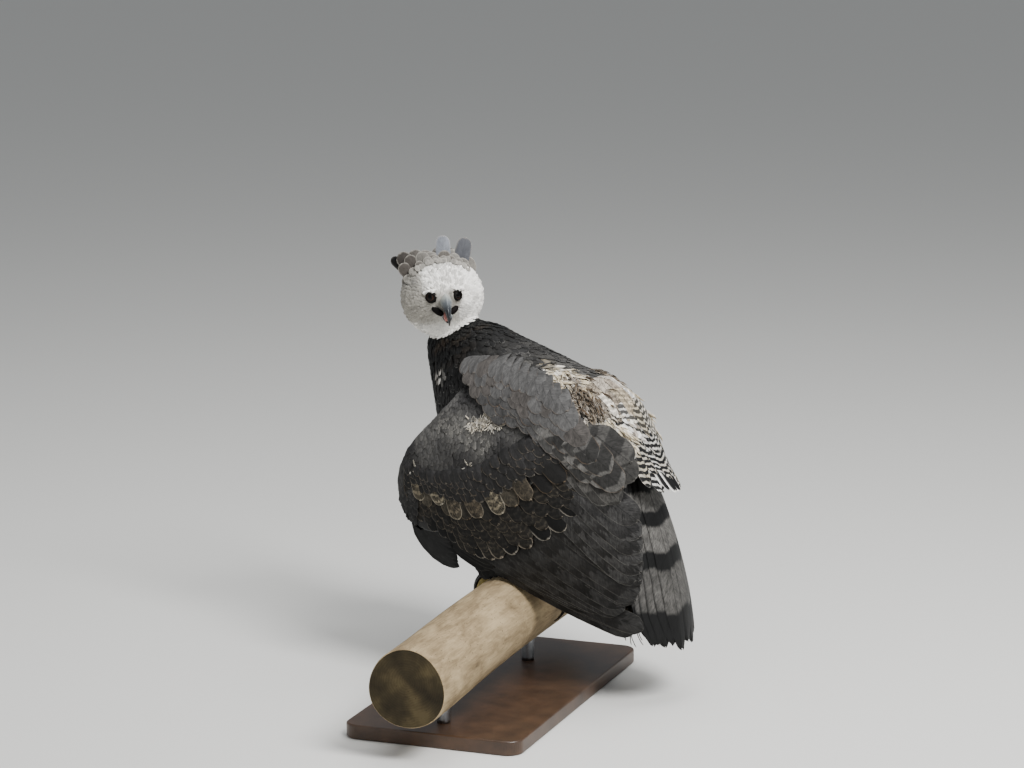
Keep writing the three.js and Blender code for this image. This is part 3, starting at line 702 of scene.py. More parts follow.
def coat_vanes(ground, roots, lies, growth, look, columns=4):
    """Small feathers over the skin. growth gives each one's size and how it rises."""
    count = len(roots)
    t = STATIONS[COAT_STATIONS]
    size, half = growth["size"], growth["half"]
    places, normals, ways, bake = ground.comb(roots, lies, size, t)
    sides = unit(np.cross(ways, normals))
    a = np.linspace(-1, 1, columns)
    width = vane_width(t[None], np.clip(1.1 * half / size, 0.2, 0.6)[:, None])
    ragged = 1 - growth["ragged"] * rng.random((count, COAT_STATIONS, 2))
    across = a[None, None] * width[..., None] * half[:, None, None]
    across = np.where(a < 0, across * ragged[..., :1], across * ragged[..., 1:])
    height = growth["sink"] + growth["rise"][:, None] * (t[None] ** 0.9)
    camber = growth["cup"] * half[:, None, None] * (1 - a[None, None] ** 2) * width[..., None]
    fray = frayed(count, columns, growth["fray"]) * smooth(t, 0.45, 1)[None, :, None]
    points = (
        places[:, :, None]
        + normals[:, :, None] * (height[..., None] + camber)[..., None]
        + sides[:, :, None] * across[..., None]
        + ways[:, :, None] * (fray * size[:, None, None])[..., None]
    )
    cell = np.concatenate([bake - BAKE_PATCH / 2, np.full((count, 2), BAKE_PATCH)], 1)
    return Vanes(points, COAT_THICKNESS, look, cell, False)


def neighbours(points):
    """A tree that finds the points near a place."""
    tree = KDTree(len(points))
    for i, p in enumerate(points):
        tree.insert(p, i)
    tree.balance()
    return tree


def thin(points, spacing):
    """Evenly scattered points out of many, each with its own spacing."""
    tree = neighbours(points)
    alive = np.ones(len(points), bool)
    kept = []
    for i, p in enumerate(points):
        if alive[i]:
            kept.append(i)
            for _, j, _ in tree.find_range(p, spacing[i]):
                alive[j] = False
    return np.array(kept)


def scatter(rings, count):
    """Points over a loft by area, with the way its rings run, their share along and their turn."""
    rings = np.asarray(rings, float)
    beside = np.roll(rings, -1, axis=1)
    area = np.linalg.norm(np.cross((beside - rings)[:-1], rings[1:] - rings[:-1]), axis=-1)
    pick = rng.choice(area.size, count, p=area.ravel() / area.sum())
    i, j = np.unravel_index(pick, area.shape)
    u, v = rng.random((2, count, 1))
    near = rings[i, j] * (1 - v) + beside[i, j] * v
    far = rings[i + 1, j] * (1 - v) + beside[i + 1, j] * v
    share = (i + u[:, 0]) / (len(rings) - 1)
    turn = 2 * math.pi * (j + v[:, 0]) / rings.shape[1]
    return near * (1 - u) + far * u, unit(far - near), share, turn


def sway(lies, normals, degrees):
    """Lies turned a little about the normals by a random angle."""
    turn = np.radians(degrees) * rng.standard_normal(len(lies))[:, None]
    return unit(lies * np.cos(turn) + np.cross(normals, lies) * np.sin(turn))


def speckle(points, size, seed):
    """Smooth noise from 0 to 1 at points, with features of a size in millimetres."""
    draw = np.random.default_rng(seed)
    value = np.zeros(len(points))
    for _ in range(6):
        way = unit(draw.standard_normal(3)) * 2 * math.pi / (size * draw.uniform(0.8, 1.7))
        value += np.sin(points @ way + draw.uniform(0, 2 * math.pi))
    return 0.5 + value / 7


# Plumage: what grows at each place, by part of the body


def growth_of(count, size, half, rise, sink=0.2, cup=0.14, ragged=0.18, fray=0.07):
    """Sizes of small feathers, in millimetres, with their natural variation."""
    vary = 1 + 0.26 * (rng.random((3, count)) - 0.5)
    return {
        "size": size * vary[0],
        "half": half * vary[1],
        "rise": rise * vary[2],
        "sink": sink,
        "cup": cup,
        "ragged": ragged,
        "fray": fray,
    }


BREAST_BAND = 250.0  # mm over the log: the black breast above, the white belly below
DOWN_LINE = np.array([[61, 352], [124, 347], [174, 330], [210, 303], [232, 264], [252, 236]], float)
PALE_TUFTS = (
    # place and reach of the pale feathers that show on the dark neck and breast
    ((57, -155, 326), 17.0),
    ((88, -112, 270), 24.0),
)


def line_distance(points, line):
    """How far points in a plane lie from a line of straight runs."""
    nearest = np.full(len(points), 1e9)
    for a, b in zip(line, line[1:]):
        run = b - a
        t = np.clip(((points - a) @ run) / (run @ run), 0, 1)[:, None]
        nearest = np.minimum(nearest, np.linalg.norm(points - a - t * run, axis=1))
    return nearest


def neck_share(share):
    """1 at the head's end of the body's loft, 0 from the shoulders on."""
    return 1 - smooth(share, 0.16, 0.36)


def body_plumage(p, share, turn):
    """Neck, mantle, back, rump, breast, belly and flanks."""
    n = len(p)
    over = np.cos(turn)  # 1 along the back, -1 along the belly
    wild = rng.random(n)
    neck = neck_share(share)
    rump = smooth(p[:, 1], 118, 165) * smooth(over, -0.35, 0.15)
    belly = smooth(-over, -0.1, 0.35) * (1 - smooth(p[:, 2], BREAST_BAND - 26, BREAST_BAND + 16))
    aside = np.where(p[:, 0] > 0, p[:, 0], -0.5 * p[:, 0])  # the far side's down lies lower
    down = smooth(34 - line_distance(p[:, 1:], DOWN_LINE), 0, 14) * smooth(aside, 16, 34)
    mantle = smooth(over, 0.0, 0.7) * (1 - neck)
    pale = blend(CHALK, CREAM, smooth(speckle(p, 26, 5), 0.3, 0.7))
    brown = smooth(speckle(p, 24, 9), 0.5, 0.66)
    pale = blend(pale, blend(TAN, UMBER, wild), 0.85 * brown * down)
    base = layered(
        blend(SLATE, CHARCOAL, smooth(speckle(p, 46, 3), 0.3, 0.7)),
        (blend(STEEL_GREY, ASH, 0.6 * wild), mantle * (0.1 + 0.4 * wild)),
        (INK, 0.95 * (1 - smooth(share, 0.26, 0.52))),
        (UMBER, 0.3 * neck * smooth(speckle(p, 30, 8), 0.55, 0.8)),
        (pale, np.maximum(rump, down)),
        (blend(CHALK, CREAM, 0.4 * wild), belly),
    )
    for middle, reach in PALE_TUFTS:
        near = smooth(reach - np.linalg.norm(p - np.array(middle), axis=1), 0, 0.5 * reach)
        base = blend(base, blend(CHALK, TAN, 0.5 * wild), near * (wild > 0.25))
    flecks = (wild < 0.25) * (1 - rump) * (1 - belly) * (1 - 0.8 * neck)
    light = np.maximum(np.maximum(rump, belly), down)
    look = feather_look(
        n, 30, 6, base, blend(ASH, CHALK, np.maximum(0.5 * flecks, light)),
        0.1 + 0.3 * flecks + 0.3 * light, 0.9, 9.0, 0.7 * rump * (1 - down), 0.35 * down,
        0.25 * (1 - light),
    )
    size = 29 - 9 * neck + 9 * belly + 6 * down
    half = 5.6 - 1.9 * neck + 0.9 * belly - 2.2 * down
    growth = growth_of(n, size, half, 4.6 + 3.4 * belly - 0.8 * neck + 4 * down)
    return growth, look


def body_spacing(p, share):
    return 6.0 - 1.9 * neck_share(share)


def thigh_plumage(p, share, turn):
    n = len(p)
    base = blend(CHALK, CREAM, 0.5 * speckle(p, 30, 21))
    look = feather_look(n, 30, 5, base, CHALK, 0.3, 1.0, 6.5, 0.75)
    return growth_of(n, 32 - 10 * share, 5.4 - 1.8 * share, 6 - 2 * share), look


def thigh_spacing(p, share):
    return 5.6 - 1.2 * share


def from_bill_root(q):
    """How far points of the head's frame lie from the root of the bill."""
    return np.linalg.norm(q - np.array([0, -50, -10]), axis=1)


def head_plumage(p, share, turn):
    """Face, crown, cheeks, chin and nape, by their place in the head's own frame."""
    n = len(p)
    q = to_head(p)
    x, y, z = q.T
    wild = rng.random(n)
    from_bill = from_bill_root(q)
    rim = smooth(y, -12, 6) * (1 - smooth(y, 12, 26))
    back = smooth(y, 14, 34)
    crown = smooth(z, 20, 46)
    brow = smooth(z, 6, 14) * (1 - smooth(np.abs(x), 24, 36))
    chin = smooth(-z, 30, 48)
    painted_shade_side = np.where(x < 0, 1.0, 0.04)  # painted shade: the bird's right side, away from the key light, is painted greyer
    cheek = smooth(np.abs(x), 12, 28) * (1 - brow) * (1 - chin)
    lores = (1 - smooth(from_bill, 18, 32)) * smooth(z, -26, -16) * (1 - smooth(z, 3, 9))
    temple = smooth(z, 4, 22) * smooth(np.abs(x), 28, 42)
    streaks = smooth(speckle(q * np.array([1.0, 0.35, 1.0]), 9, 33), 0.45, 0.65)
    curls = smooth(speckle(q, 6, 35), 0.45, 0.65)
    spots = smooth(speckle(q, 15, 37), 0.6, 0.75) * smooth(np.abs(x), 12, 28) * (1 - brow)
    base = layered(
        # painted light: the bird's left side beyond x = 20, toward the key light, is painted chalk white;
        # brow and chin are white of their own
        blend(PALE_GREY, CHALK, np.maximum(np.maximum(brow, chin), x > 20)),
        # the cheek and temple greys below are laid on the bird's right side only, as painted shade
        (blend(WARM_GREY, ASH, 0.5 * wild), 0.7 * cheek * painted_shade_side),
        (blend(ASH, WARM_GREY, wild), 0.75 * lores),
        (ASH, 0.5 * temple * painted_shade_side),
        (STEEL_GREY, 0.6 * temple * streaks * painted_shade_side),
        (ASH, (0.5 * curls + 0.1 * (wild < 0.25)) * brow),
        (ASH, 0.35 * spots),
        (blend(WARM_GREY, ASH, wild), 0.85 * smooth(z, 38, 50)),
        (STEEL_GREY, 0.8 * back * crown),
        (ASH, 0.5 * back * (1 - crown)),
    )
    far = smooth(from_bill, 12, 70)
    look = feather_look(n, 12, 2.5, base, CHALK, 0.25 + 0.2 * rim, 0.8, shaft=0.0, spread=0.24)
    growth = growth_of(n, 5.5 + 10 * far + 7 * back, 1.15 + 1.7 * far + 1.6 * back,
                       1.6 + 3.2 * far + 1.8 * rim + 1.6 * brow * curls, cup=0.2, fray=0.09)
    return growth, look


def head_spacing(p, share):
    return 1.55 + 1.5 * smooth(from_bill_root(to_head(p)), 12, 80)


def arm_flow(y, z):
    """Which way the coverts lie, in y and z: down at the wrist, aslant at the elbow."""
    turn = np.radians(-76 + 34 * smooth(y, -120, 190) - 4 * smooth(z, 160, 300))
    return np.cos(turn), np.sin(turn)


FLECK_LINE = np.array([[-84, 262], [-40, 256], [-6, 240]], float)


def arm_plumage(p, y, z):
    """Lesser coverts, small along the wing's front edge and larger towards the median row."""
    n = len(p)
    wild = rng.random(n)
    high = smooth(z - 0.3 * y, 160, 300)
    hoary = 0.75 * high * smooth(speckle(p, 60, 41), 0.1, 0.8)
    flecked = smooth(28 - line_distance(np.stack([y, z], -1), FLECK_LINE), 0, 20) * (wild < 0.5)
    base = layered(
        blend(CHARCOAL, SLATE, 0.4 + 0.6 * high),
        (INK, 0.7 * (1 - smooth(z, 100, 150))),
        (blend(STEEL_GREY, ASH, 0.4 * wild), hoary),
        (ASH, 0.4 * flecked),
    )
    strength = 0.14 + 0.3 * (1 - high) + 0.4 * flecked
    look = feather_look(n, 18, 5, base, blend(ASH, PALE_GREY, flecked), strength, 1.0, shaft=0.2)
    return growth_of(n, 19 + 4 * (1 - high), 4.6 + 2 * (1 - high), 3.4), look


# Coats


def coat_from_loft(ground, rings, plumage, spacing, candidates, keep=None, columns=4):
    """Evenly scattered feathers over one part of the skin, lying along its rings."""
    points, lies, share, turn = scatter(rings, candidates)
    near = ground.within(points, ROOT_REACH)
    if keep is not None:
        near &= keep(points)
    points, lies, share, turn = points[near], lies[near], share[near], turn[near]
    kept = thin(points, spacing(points, share))
    points, lies, share, turn = points[kept], lies[kept], share[kept], turn[kept]
    lies = sway(lies, ground.normals(points), 9)
    growth, look = plumage(points, share, turn)
    return coat_vanes(ground, points, lies, growth, look, columns)


def part_of(batch, wanted):
    """The feathers of a batch that are wanted."""
    look = {key: rows[wanted] for key, rows in batch.look.items()}
    return batch._replace(points=batch.points[wanted], look=look, bake=batch.bake[wanted])


def clear_of_face(points):
    """Feathered parts of the head: not the bill's root nor the corners of the mouth."""
    q = to_head(points)
    clear = q[:, 1] > -45.5
    for side in EYE_SPOTS:
        clear &= ~in_opening(q, side, SOCKET_RADIUS + 3, OPENING)
        gape = (q - np.array([side * 15, -47, -21])) @ gape_axes(side).T / np.array([11, 9, 4.4])
        clear &= np.linalg.norm(gape, axis=1) > 1
    return clear


def clear_of_eyes(batch):
    """The feathers of which no part hangs before an eye."""
    q = to_head(batch.points)
    clear = np.ones(len(q), bool)
    for side in EYE_SPOTS:
        clear &= ~in_opening(q, side, SOCKET_RADIUS + 12, SIGHT).any((1, 2))
    return part_of(batch, clear)


def gape_axes(side):
    """Rows: along the corner of the mouth from the bill outwards, outwards from the face, and
    across both."""
    along = unit(np.array([side * 19.0, 8.0, 14.0]))
    out = unit(np.cross(along, np.array([-side * 0.5, 0.0, 1.0])) * side)
    return np.stack([along, out, np.cross(along, out)])


def brow_tufts(ground, count=70):
    """Bright white tufts that lean out over each eye and cut off its upper edge."""
    side = np.repeat([-1, 1], count)
    t = np.tile(rng.random(count), 2)
    x = np.where(side > 0, 10 + 17 * t, -12 - 21 * t) + rng.uniform(-1, 1, 2 * count)
    rise = np.where(side > 0, 17.5, 17.0) - 1.5 * t + rng.uniform(-1.5, 2.5, 2 * count)
    roots = from_head(np.stack([x, -44 + 8 * t**2, rise], -1))
    lies = unit(np.stack([side * 0.85, -0.2 + 0 * t, -0.3 - 0.5 * rng.random(2 * count)], -1))
    look = feather_look(2 * count, 8, 1.3, CHALK, CHALK, 0.2, 0.8, shaft=0.0, spread=0.1)
    growth = growth_of(2 * count, 8.0, 1.4, 3.4, sink=0.6, cup=0.2, fray=0.1)
    return coat_vanes(ground, roots, lies @ HEAD_AXES.T, growth, look, columns=3)


def arm_coat(ground, place, candidates=24000):
    """Lesser coverts over the wing's upper part, down to the first row of larger ones."""
    y = rng.uniform(-180, 205, candidates)
    z = rng.uniform(55, 342, candidates)
    rim = spline(ARM_OUTLINE, 65)[:-1] - ARM_MIDDLE
    turn = np.arctan2(z - ARM_MIDDLE[1], y - ARM_MIDDLE[0])
    rim_turn = np.arctan2(rim[:, 1], rim[:, 0])
    order = np.argsort(rim_turn)
    reach = np.interp(turn, rim_turn[order], np.linalg.norm(rim, axis=1)[order], period=2 * math.pi)
    inside = np.hypot(z - ARM_MIDDLE[1], y - ARM_MIDDLE[0]) < 0.985 * reach
    first_row = spline(COVERTS_ABOVE, 40)
    inside &= z > np.interp(y, first_row[:, 0], first_row[:, 1]) + 6 - 90 * smooth(-y, 122, 138)
    y, z = y[inside], z[inside]
    height = np.full(len(y), ARM_OUTER - ARM_DEPTH)
    points, lies = laid_on_wing(place, y, z, *arm_flow(y, z), height)
    kept = thin(points, 4.4 + 1.2 * (1 - smooth(z - 0.3 * y, 170, 270)))
    points, lies, y, z = points[kept], lies[kept], y[kept], z[kept]
    lies = sway(lies, ground.normals(points), 7)
    growth, look = arm_plumage(points, y, z)
    return coat_vanes(ground, points, lies, growth, look)


SHOULDER_DOWN = (
    # y, z and reach of the white down that wells up between the wing and the scapulars
    (-24, 255, 5),
    (-11, 257, 7),
    (-2, 265, 7),
    (3, 274, 4),
    (14, 259, 6),
    (27, 259, 3),
    (-16, 185, 2),
    (-136, 175, 2),
)


def shoulder_down(ground, count=520):
    """Loose white wisps that lie every which way."""
    spots = np.array(SHOULDER_DOWN, float)
    spot = spots[rng.choice(len(spots), count, p=spots[:, 2] / spots[:, 2].sum())]
    off = rng.standard_normal((count, 2)) * 0.5 * spot[:, 2:]
    y, z = (spot[:, :2] + off).T
    height = np.full(count, ARM_OUTER - ARM_DEPTH)
    turn = np.radians(-25 + 55 * rng.standard_normal(count))
    points, lies = laid_on_wing(left_wing, y, z, np.cos(turn), np.sin(turn), height)
    wild = rng.random(count)
    base = blend(blend(PALE_GREY, CREAM, wild), ASH, 0.8 * (wild > 0.75))
    look = feather_look(count, 14, 1.1, base, CHALK, 0.3, mottle=0.1, shaft=0)
    growth = growth_of(count, 7 + 6 * wild, 1.1, 4 + 4 * wild, ragged=0.45, fray=0.15)
    return coat_vanes(ground, points, lies, growth, look)


BACK_DOWN_LINE = [
    # y, z on the wing's chart: where the scapulars end and the rump's down wells up
    [30, 341],
    [66, 338],
    [104, 336],
    [144, 320],
    [180, 301],
    [212, 280],
    [238, 262],
    [260, 247],
    [278, 230],
]


def back_down(ground, place, count=900):
    """Fluffy cream and brown down between the folded wing and the rump."""
    t = rng.uniform(0.0 if place is left_wing else 0.35, 1, count)
    line = spline(BACK_DOWN_LINE, 200)[(t * 199).astype(int)]
    beside = rng.uniform(-14, 16, count)
    y, z = line.T + beside * np.array([[0.6], [0.8]])
    turn = np.radians(-14 - 44 * t + 13 * rng.standard_normal(count))
    points, lies = laid_on_wing(place, y, z, np.cos(turn), np.sin(turn), np.full(count, -5.0))
    wild = rng.random(count)
    brown = smooth(t, 0.2, 0.26) * (1 - smooth(t, 0.44, 0.54))
    dusky = np.maximum(1 - smooth(t, 0.02, 0.06), smooth(t, 0.9, 0.97))
    earthy = blend(TAN, UMBER, 0.4 + 0.6 * wild)
    base = blend(blend(CHALK, CREAM, wild), earthy, brown * (0.7 + 0.3 * wild))
    base = blend(base, SLATE, dusky * (wild > 0.2))
    look = feather_look(count, 28, 2.7, base, CHALK, 0.2, 1.0, 12.0, 0, 0.25 * brown, 0.1)
    growth = growth_of(count, 24 + 11 * wild, 2.7, 6 + 7 * wild, ragged=0.5, fray=0.2)
    return coat_vanes(ground, points, lies, growth, look, columns=5)


# Wings' own rows of large feathers

WING_TIERS = {
    # feathers from the row's distal end to its proximal end, each lying over the one before.
    # root and tip are lines in y and z; high is the height over the flank of the first feather
    # and stack how much higher the last one lies; stray is how far a tip strays from its line.
    "primaries": dict(
        count=11, root=[[-56, 60], [-80, 72], [-98, 86], [-112, 100]],
        tip=[[138, 4], [196, -22], [252, -52], [276, -66], [286, -48]],
        half=(17, 19), high=-20, stack=12.6, lean=0.04, bow=3, stray=3, tone="quill",
    ),
    "loose_barbs": dict(
        count=6, root=[[256, -44], [284, -50]], tip=[[252, -78], [272, -92], [288, -80]],
        half=(0.8, 0.8), high=-16, stack=5, lean=0, bow=3, stray=4, tone="quill",
    ),
    "primary_coverts": dict(
        count=9, root=[[-78, 64], [-96, 88], [-110, 104]], tip=[[22, 17], [34, 38], [30, 74]],
        half=(14, 13), high=-8, stack=5, lean=0.04, bow=4, stray=2, tone="covert",
    ),
    "secondaries": dict(
        count=14, root=[[-104, 110], [-10, 150], [85, 204]],
        tip=[[206, -18], [258, -26], [286, 6], [291, 62]],
        half=(19, 21), high=-5, stack=6.3, lean=0.07, bow=6, stray=4, tone="quill",
    ),
    "tertials": dict(
        count=6, root=[[90, 200], [138, 250]], tip=[[282, 26], [290, 70], [291, 128]],
        half=(21, 25), high=3, stack=4.6, lean=0.05, bow=6, stray=4, tone="tertial",
    ),
    "alula": dict(
        count=7, root=[[-160, 108], [-138, 116], [-118, 112]],
        tip=[[-48, 8], [-51, 25], [-57, 43], [-64, 60]],
        half=(19, 16), high=-12, stack=4.4, lean=0.04, bow=14, stray=1, tone="alula", tip_share=0.5,
    ),
    "lower_scapulars": dict(
        count=8, root=[[66, 268], [124, 284], [180, 266]],
        tip=[[146, 178], [206, 170], [252, 160], [272, 182], [270, 214]],
        half=(20, 23), high=7, stack=5, lean=0.05, bow=0, stray=4, tone="barred_scapular",
    ),
    "lower_edge": dict(
        count=8, root=[[-42, 86], [-16, 84], [36, 76]],
        tip=[[-11, 17], [-3, 3], [6, -8], [18, -3], [34, 2], [54, 3], [76, 3]],
        half=(12, 14), high=-22, stack=3, lean=0.04, bow=2, stray=1.2, tone="covert",
    ),
}
# Rows that lie between two lines of tips, in y and z, each row over the next
COVERTS_ABOVE = [
    [-138, 158], [-104, 154], [-66, 152], [-30, 161], [13, 171], [71, 205], [116, 229], [152, 256],
]
COVERTS_BELOW = [
    [-128, 92], [-90, 72], [-46, 58], [-10, 44], [24, 37], [62, 48], [108, 68], [168, 110], [210, 148],
]
COVERT_ROWS = (
    # share of the way down, count, half widths of the first and last, length, tone
    (0.0, 24, (8, 10), 32, "small"),
    (0.09, 23, (8, 11), 34, "small"),
    (0.18, 22, (9, 11), 36, "lesser"),
    (0.27, 21, (9, 12), 40, "lesser"),
    (0.51, 15, (13, 15), 60, "worn"),
    (0.64, 19, (10, 13), 46, "lower"),
    (0.76, 18, (10, 14), 48, "lower"),
    (0.88, 17, (11, 15), 52, "lower"),
    (1.0, 16, (12, 17), 64, "greater"),
)
SCAPULARS_ABOVE = [[-62, 318], [-20, 321], [20, 317], [62, 306], [104, 298], [148, 280]]
SCAPULARS_BELOW = [[40, 258], [80, 260], [120, 245], [165, 222], [205, 200], [238, 184], [262, 178]]
SCAPULAR_ROWS = (
    (0.0, 12, (13, 15), 42, "shoulder"),
    (0.2, 11, (14, 17), 50, "shoulder"),
    (0.4, 11, (16, 18), 58, "shoulder"),
    (0.6, 10, (17, 20), 64, "scapular"),
    (0.8, 10, (18, 22), 72, "scapular"),
    (1.0, 9, (18, 23), 82, "scapular"),
)
QUILLS = ("primaries", "loose_barbs", "secondaries", "tertials", "alula")
ROOT_DIP = 9.0  # of a feather's root under its own height
WORN_LIFT = 2.2  # of every other worn covert over the ones beside it


def rows_between(above, below, rows, high, stack, swing):
    """Rows of feathers between two lines of tips. high is how much the first row lies over the
    last and swing turns their lie, in degrees."""
    tiers = []
    above, below = spline(above, 12), spline(below, 12)
    for share, count, half, size, tone in rows:
        tip = above + (below - above) * share
        flow_y, flow_z = arm_flow(tip[:, 0], tip[:, 1])
        c, s = math.cos(math.radians(swing)), math.sin(math.radians(swing))
        flow = np.stack([flow_y * c - flow_z * s, flow_y * s + flow_z * c], -1)
        reach = size * np.linspace(0.85, 1.15, len(tip))[:, None]
        tiers.append(dict(count=count, root=tip - flow * reach, tip=tip, half=half, tone=tone,
                          high=high[0] + (high[1] - high[0]) * share, stack=stack, lean=0.05, bow=1,
                          stray=4.0 if tone == "worn" else 2.2))
    return tiers


def tone_look(tone, count, u):
    """Colours of a row of large feathers, as feather_look takes them: base, fringe with its
    strength and width, period and strength of the bars, strength of the mottles and the shaft."""
    wild = rng.random(count)
    aged = smooth(wild, 0.45, 0.6)
    pale = smooth(u, 0.35, 0.6)
    worn = np.where(np.arange(count) % 2, 0.7 + 0.3 * wild, 0.4 * wild) * (1 - smooth(u, 0.74, 0.84))
    barred = smooth(u, 0.45, 0.65)
    scapular = blend(STEEL_GREY, ASH, 0.4 * barred)
    shoulder = blend(SLATE, STEEL_GREY, 0.5 + 0.5 * wild)
    small = (blend(WARM_GREY, TAN, 0.8 * wild), 0.5, 1.5, 40.0, 0.0, 0.2)
    return {
        "quill": (blend(INK, CHARCOAL, 0.3 + 0.7 * wild), ASH, 0.4, 1.2, 60, 0.16, 0.2, 0.6),
        "alula": (blend(INK, CHARCOAL, 0.4 * wild), SLATE, 0.3, 1.2, 60, 0.04, 0.2, 0.4),
        "tertial": (blend(CHARCOAL, SLATE, wild), ASH, 0.5, 1.3, 52, 0.3, 0.4, 0.6),
        "covert": (blend(INK, CHARCOAL, wild), ASH, 0.25, 1.2),
        "greater": (blend(INK, PEAT, 0.6 * aged), blend(WARM_GREY, TAN, 0.4 * wild),
                    0.6 + 0.25 * pale, 1.5 + 1.6 * pale, 11, 0.6, 0.5),
        "lower": (blend(CHARCOAL, LOAM, 0.15 + 0.45 * aged), blend(TAN, WARM_GREY, 0.5),
                  0.5, 1.3, 11, 0.65, 0.4),
        "worn": (blend(CHARCOAL, blend(DRIFTWOOD, KHAKI, wild), worn), blend(TAN, OATMEAL, worn),
                 0.65, 1.2 + 1.6 * worn, 13, 0.7 * worn, 0.3 + 0.6 * worn),
        "lesser": (blend(CHARCOAL, SLATE, 0.4 * (0.4 + 0.6 * wild)), *small),
        "small": (blend(CHARCOAL, SLATE, 0.8 * (0.4 + 0.6 * wild)), *small),
        "barred_scapular": (blend(SLATE, ASH, 0.1 + 0.3 * wild), ASH, 0.4, 1.5, 52, 0.6, 0.4, 0.5),
        "scapular": (blend(SLATE, scapular, 0.5 + 0.5 * wild), blend(RUSSET, ASH, wild),
                     0.6, 1.5, 44, 0.25 + 0.5 * barred, 0.35),
        "shoulder": (blend(shoulder, SEPIA, 0.5 * (wild < 0.35)), blend(ASH, RUSSET, wild),
                     0.45, 1.3, 40.0, 0.0, 0.3),
    }[tone]


def sheet(count, stations, columns, half, tip_share, ragged=0.05, fray=0.012, taper=0.0):
    """t and w over each vane's sheet, with the camber's share. w is uneven along both edges, and
    tip_share is the share of the length over which the tip rounds off."""
    t = STATIONS[stations]
    a = np.linspace(-1, 1, columns)
    width = vane_width(t[None], np.broadcast_to(tip_share, count)[:, None])
    width = width * (1 - taper * smooth(t, 0.78, 1))
    rough = 1 - ragged * rng.random((count, stations, 2)) * (t > 0.3)[None, :, None]
    w = a[None, None] * width[..., None] * np.broadcast_to(half, count)[:, None, None]
    w = np.where(a < 0, w * rough[..., :1], w * rough[..., 1:])
    t = t[None, :, None] + frayed(count, columns, fray) * smooth(t, 0.7, 1)[None, :, None]
    return t, w, 1 - a[None, None] ** 2 + 0 * w


def shaft_ridge(columns):
    """A low ridge along the middle of a vane."""
    ridge = np.zeros(columns)
    ridge[columns // 2] = 0.5
    return ridge


EACH = (slice(None), None, None)  # one value for each feather, over its sheet


def between(ends, t):
    """From the value at a feather's root to the one at its tip."""
    return ends[0] * (1 - t) + ends[1] * t


def wing_vanes(place, tier, stations=16, columns=9):
    """One row of the wing's large feathers."""
    count = tier["count"]
    u = np.linspace(0, 1, count)
    stray = tier["stray"] * rng.standard_normal((2, count, 2))
    root = spline(tier["root"], count) + 0.4 * stray[0]
    along = spline(tier["tip"], count) + stray[1] - root
    size = np.linalg.norm(along, axis=1)
    along = unit(along)
    side = np.stack([-along[:, 1], along[:, 0]], -1)
    half = (tier["half"][0] + (tier["half"][1] - tier["half"][0]) * u) * (0.94 + 0.12 * rng.random(count))
    tip_share = tier.get("tip_share", np.clip(1.15 * half / size, 0.05, 0.5))
    t, w, crown = sheet(count, stations, columns, half, tip_share, fray=1.6 / size[EACH])
    across = w - tier["bow"] * 4 * t * (1 - t)
    p = root[EACH] + along[EACH] * (t * size[EACH])[..., None] + side[EACH] * across[..., None]
    level = tier["high"] + tier["stack"] * u + 0.6 * (rng.random(count) - 0.5)
    if tier["tone"] == "worn":
        level += WORN_LIFT * (np.arange(count) % 2)
    height = level[EACH] - ROOT_DIP * (1 - smooth(t * 2.2)) - tier["lean"] * w
    height = height + 0.06 * half[EACH] * crown + shaft_ridge(columns)
    points = place(on_wing(p[..., 0], p[..., 1], height))
    look = feather_look(count, size, half, *tone_look(tier["tone"], count, u))
    return Vanes(points, 0.6, look, None, place is left_wing)


def with_cells(batches):
    """Large feathers don't share a patch of the bake: each gets a cell of its own."""
    total = sum(len(batch.points) for batch in batches)
    side = math.ceil(math.sqrt(total))
    i = np.arange(total)
    size = np.full(total, 0.9 / side)
    cells = np.stack([(i % side + 0.05) / side, (i // side + 0.05) / side, size, size], -1)
    made = []
    start = 0
    for batch in batches:
        made.append(batch._replace(bake=cells[start : start + len(batch.points)]))
        start += len(batch.points)
    return made


# Tail, its coverts and the crest

TAIL_ROOT = np.array([0.0, 206.0, 232.0])
TAIL_ALONG = unit(np.array([0.0, 0.324, -0.946]))
TAIL_OVER = unit(np.array([0.0, 0.946, 0.324]))
TAIL_PAIRS = 6
TAIL_SPREAD = 70.0  # from the middle to the outermost feather's tip
TAIL_HALF_WIDTH = 29.0  # of one feather
TAIL_ROOF = 330.0  # the tail's sides fall by the square of their distance over this


def on_tail(s, x, height):
    """Points by their way along the tail, to its left and over it."""
    share = s / TAIL_LENGTH
    fall = x * x / TAIL_ROOF + 10 * share**2 - 11 * np.sin(np.minimum(share, 1) * math.pi)
    points = TAIL_ROOT + TAIL_ALONG * s[..., None] + TAIL_OVER * (height - fall)[..., None]
    points[..., 0] += x
    return points


def tail_vanes(stations=26, columns=11):
    k = np.repeat(np.arange(1, TAIL_PAIRS + 1), 2)
    side = np.tile([-1, 1], TAIL_PAIRS)
    count = len(k)
    v = (k - 0.5) / (TAIL_PAIRS - 0.5)
    tip = side * TAIL_SPREAD * (1 - (1 - v) ** 1.8)
    size = TAIL_LENGTH - 34 * v * v + 16 * (rng.random(count) - 0.5)
    level = np.where(side > 0, 2 * k - 1, 2 * k)
    t, w, crown = sheet(count, stations, columns, TAIL_HALF_WIDTH, 0.07, ragged=0.04, fray=0.012, taper=0.5)
    x = (side * 18 * v)[EACH] * (1 - t**0.7) + tip[EACH] * t**0.7 - 5 * t + w
    height = 0.02 * side[EACH] * w - level[EACH] * (1.4 + (0.8 - 1.4) * t)
    height = height + 1.6 * crown + shaft_ridge(columns)
    points = on_tail(12 + (size[EACH] - 12) * t, x, height)
    # the black fringe darkens each feather's edges: partly their own dark edges, partly painted shade in the
    # gaps between the feathers
    look = feather_look(count, size - 12, TAIL_HALF_WIDTH, INK, INK, 0.8, 4.5, bar_strength=1,
                        mottle=0.4, shaft=0.7, spread=0.5)
    return Vanes(points, 0.7, look, None, False)


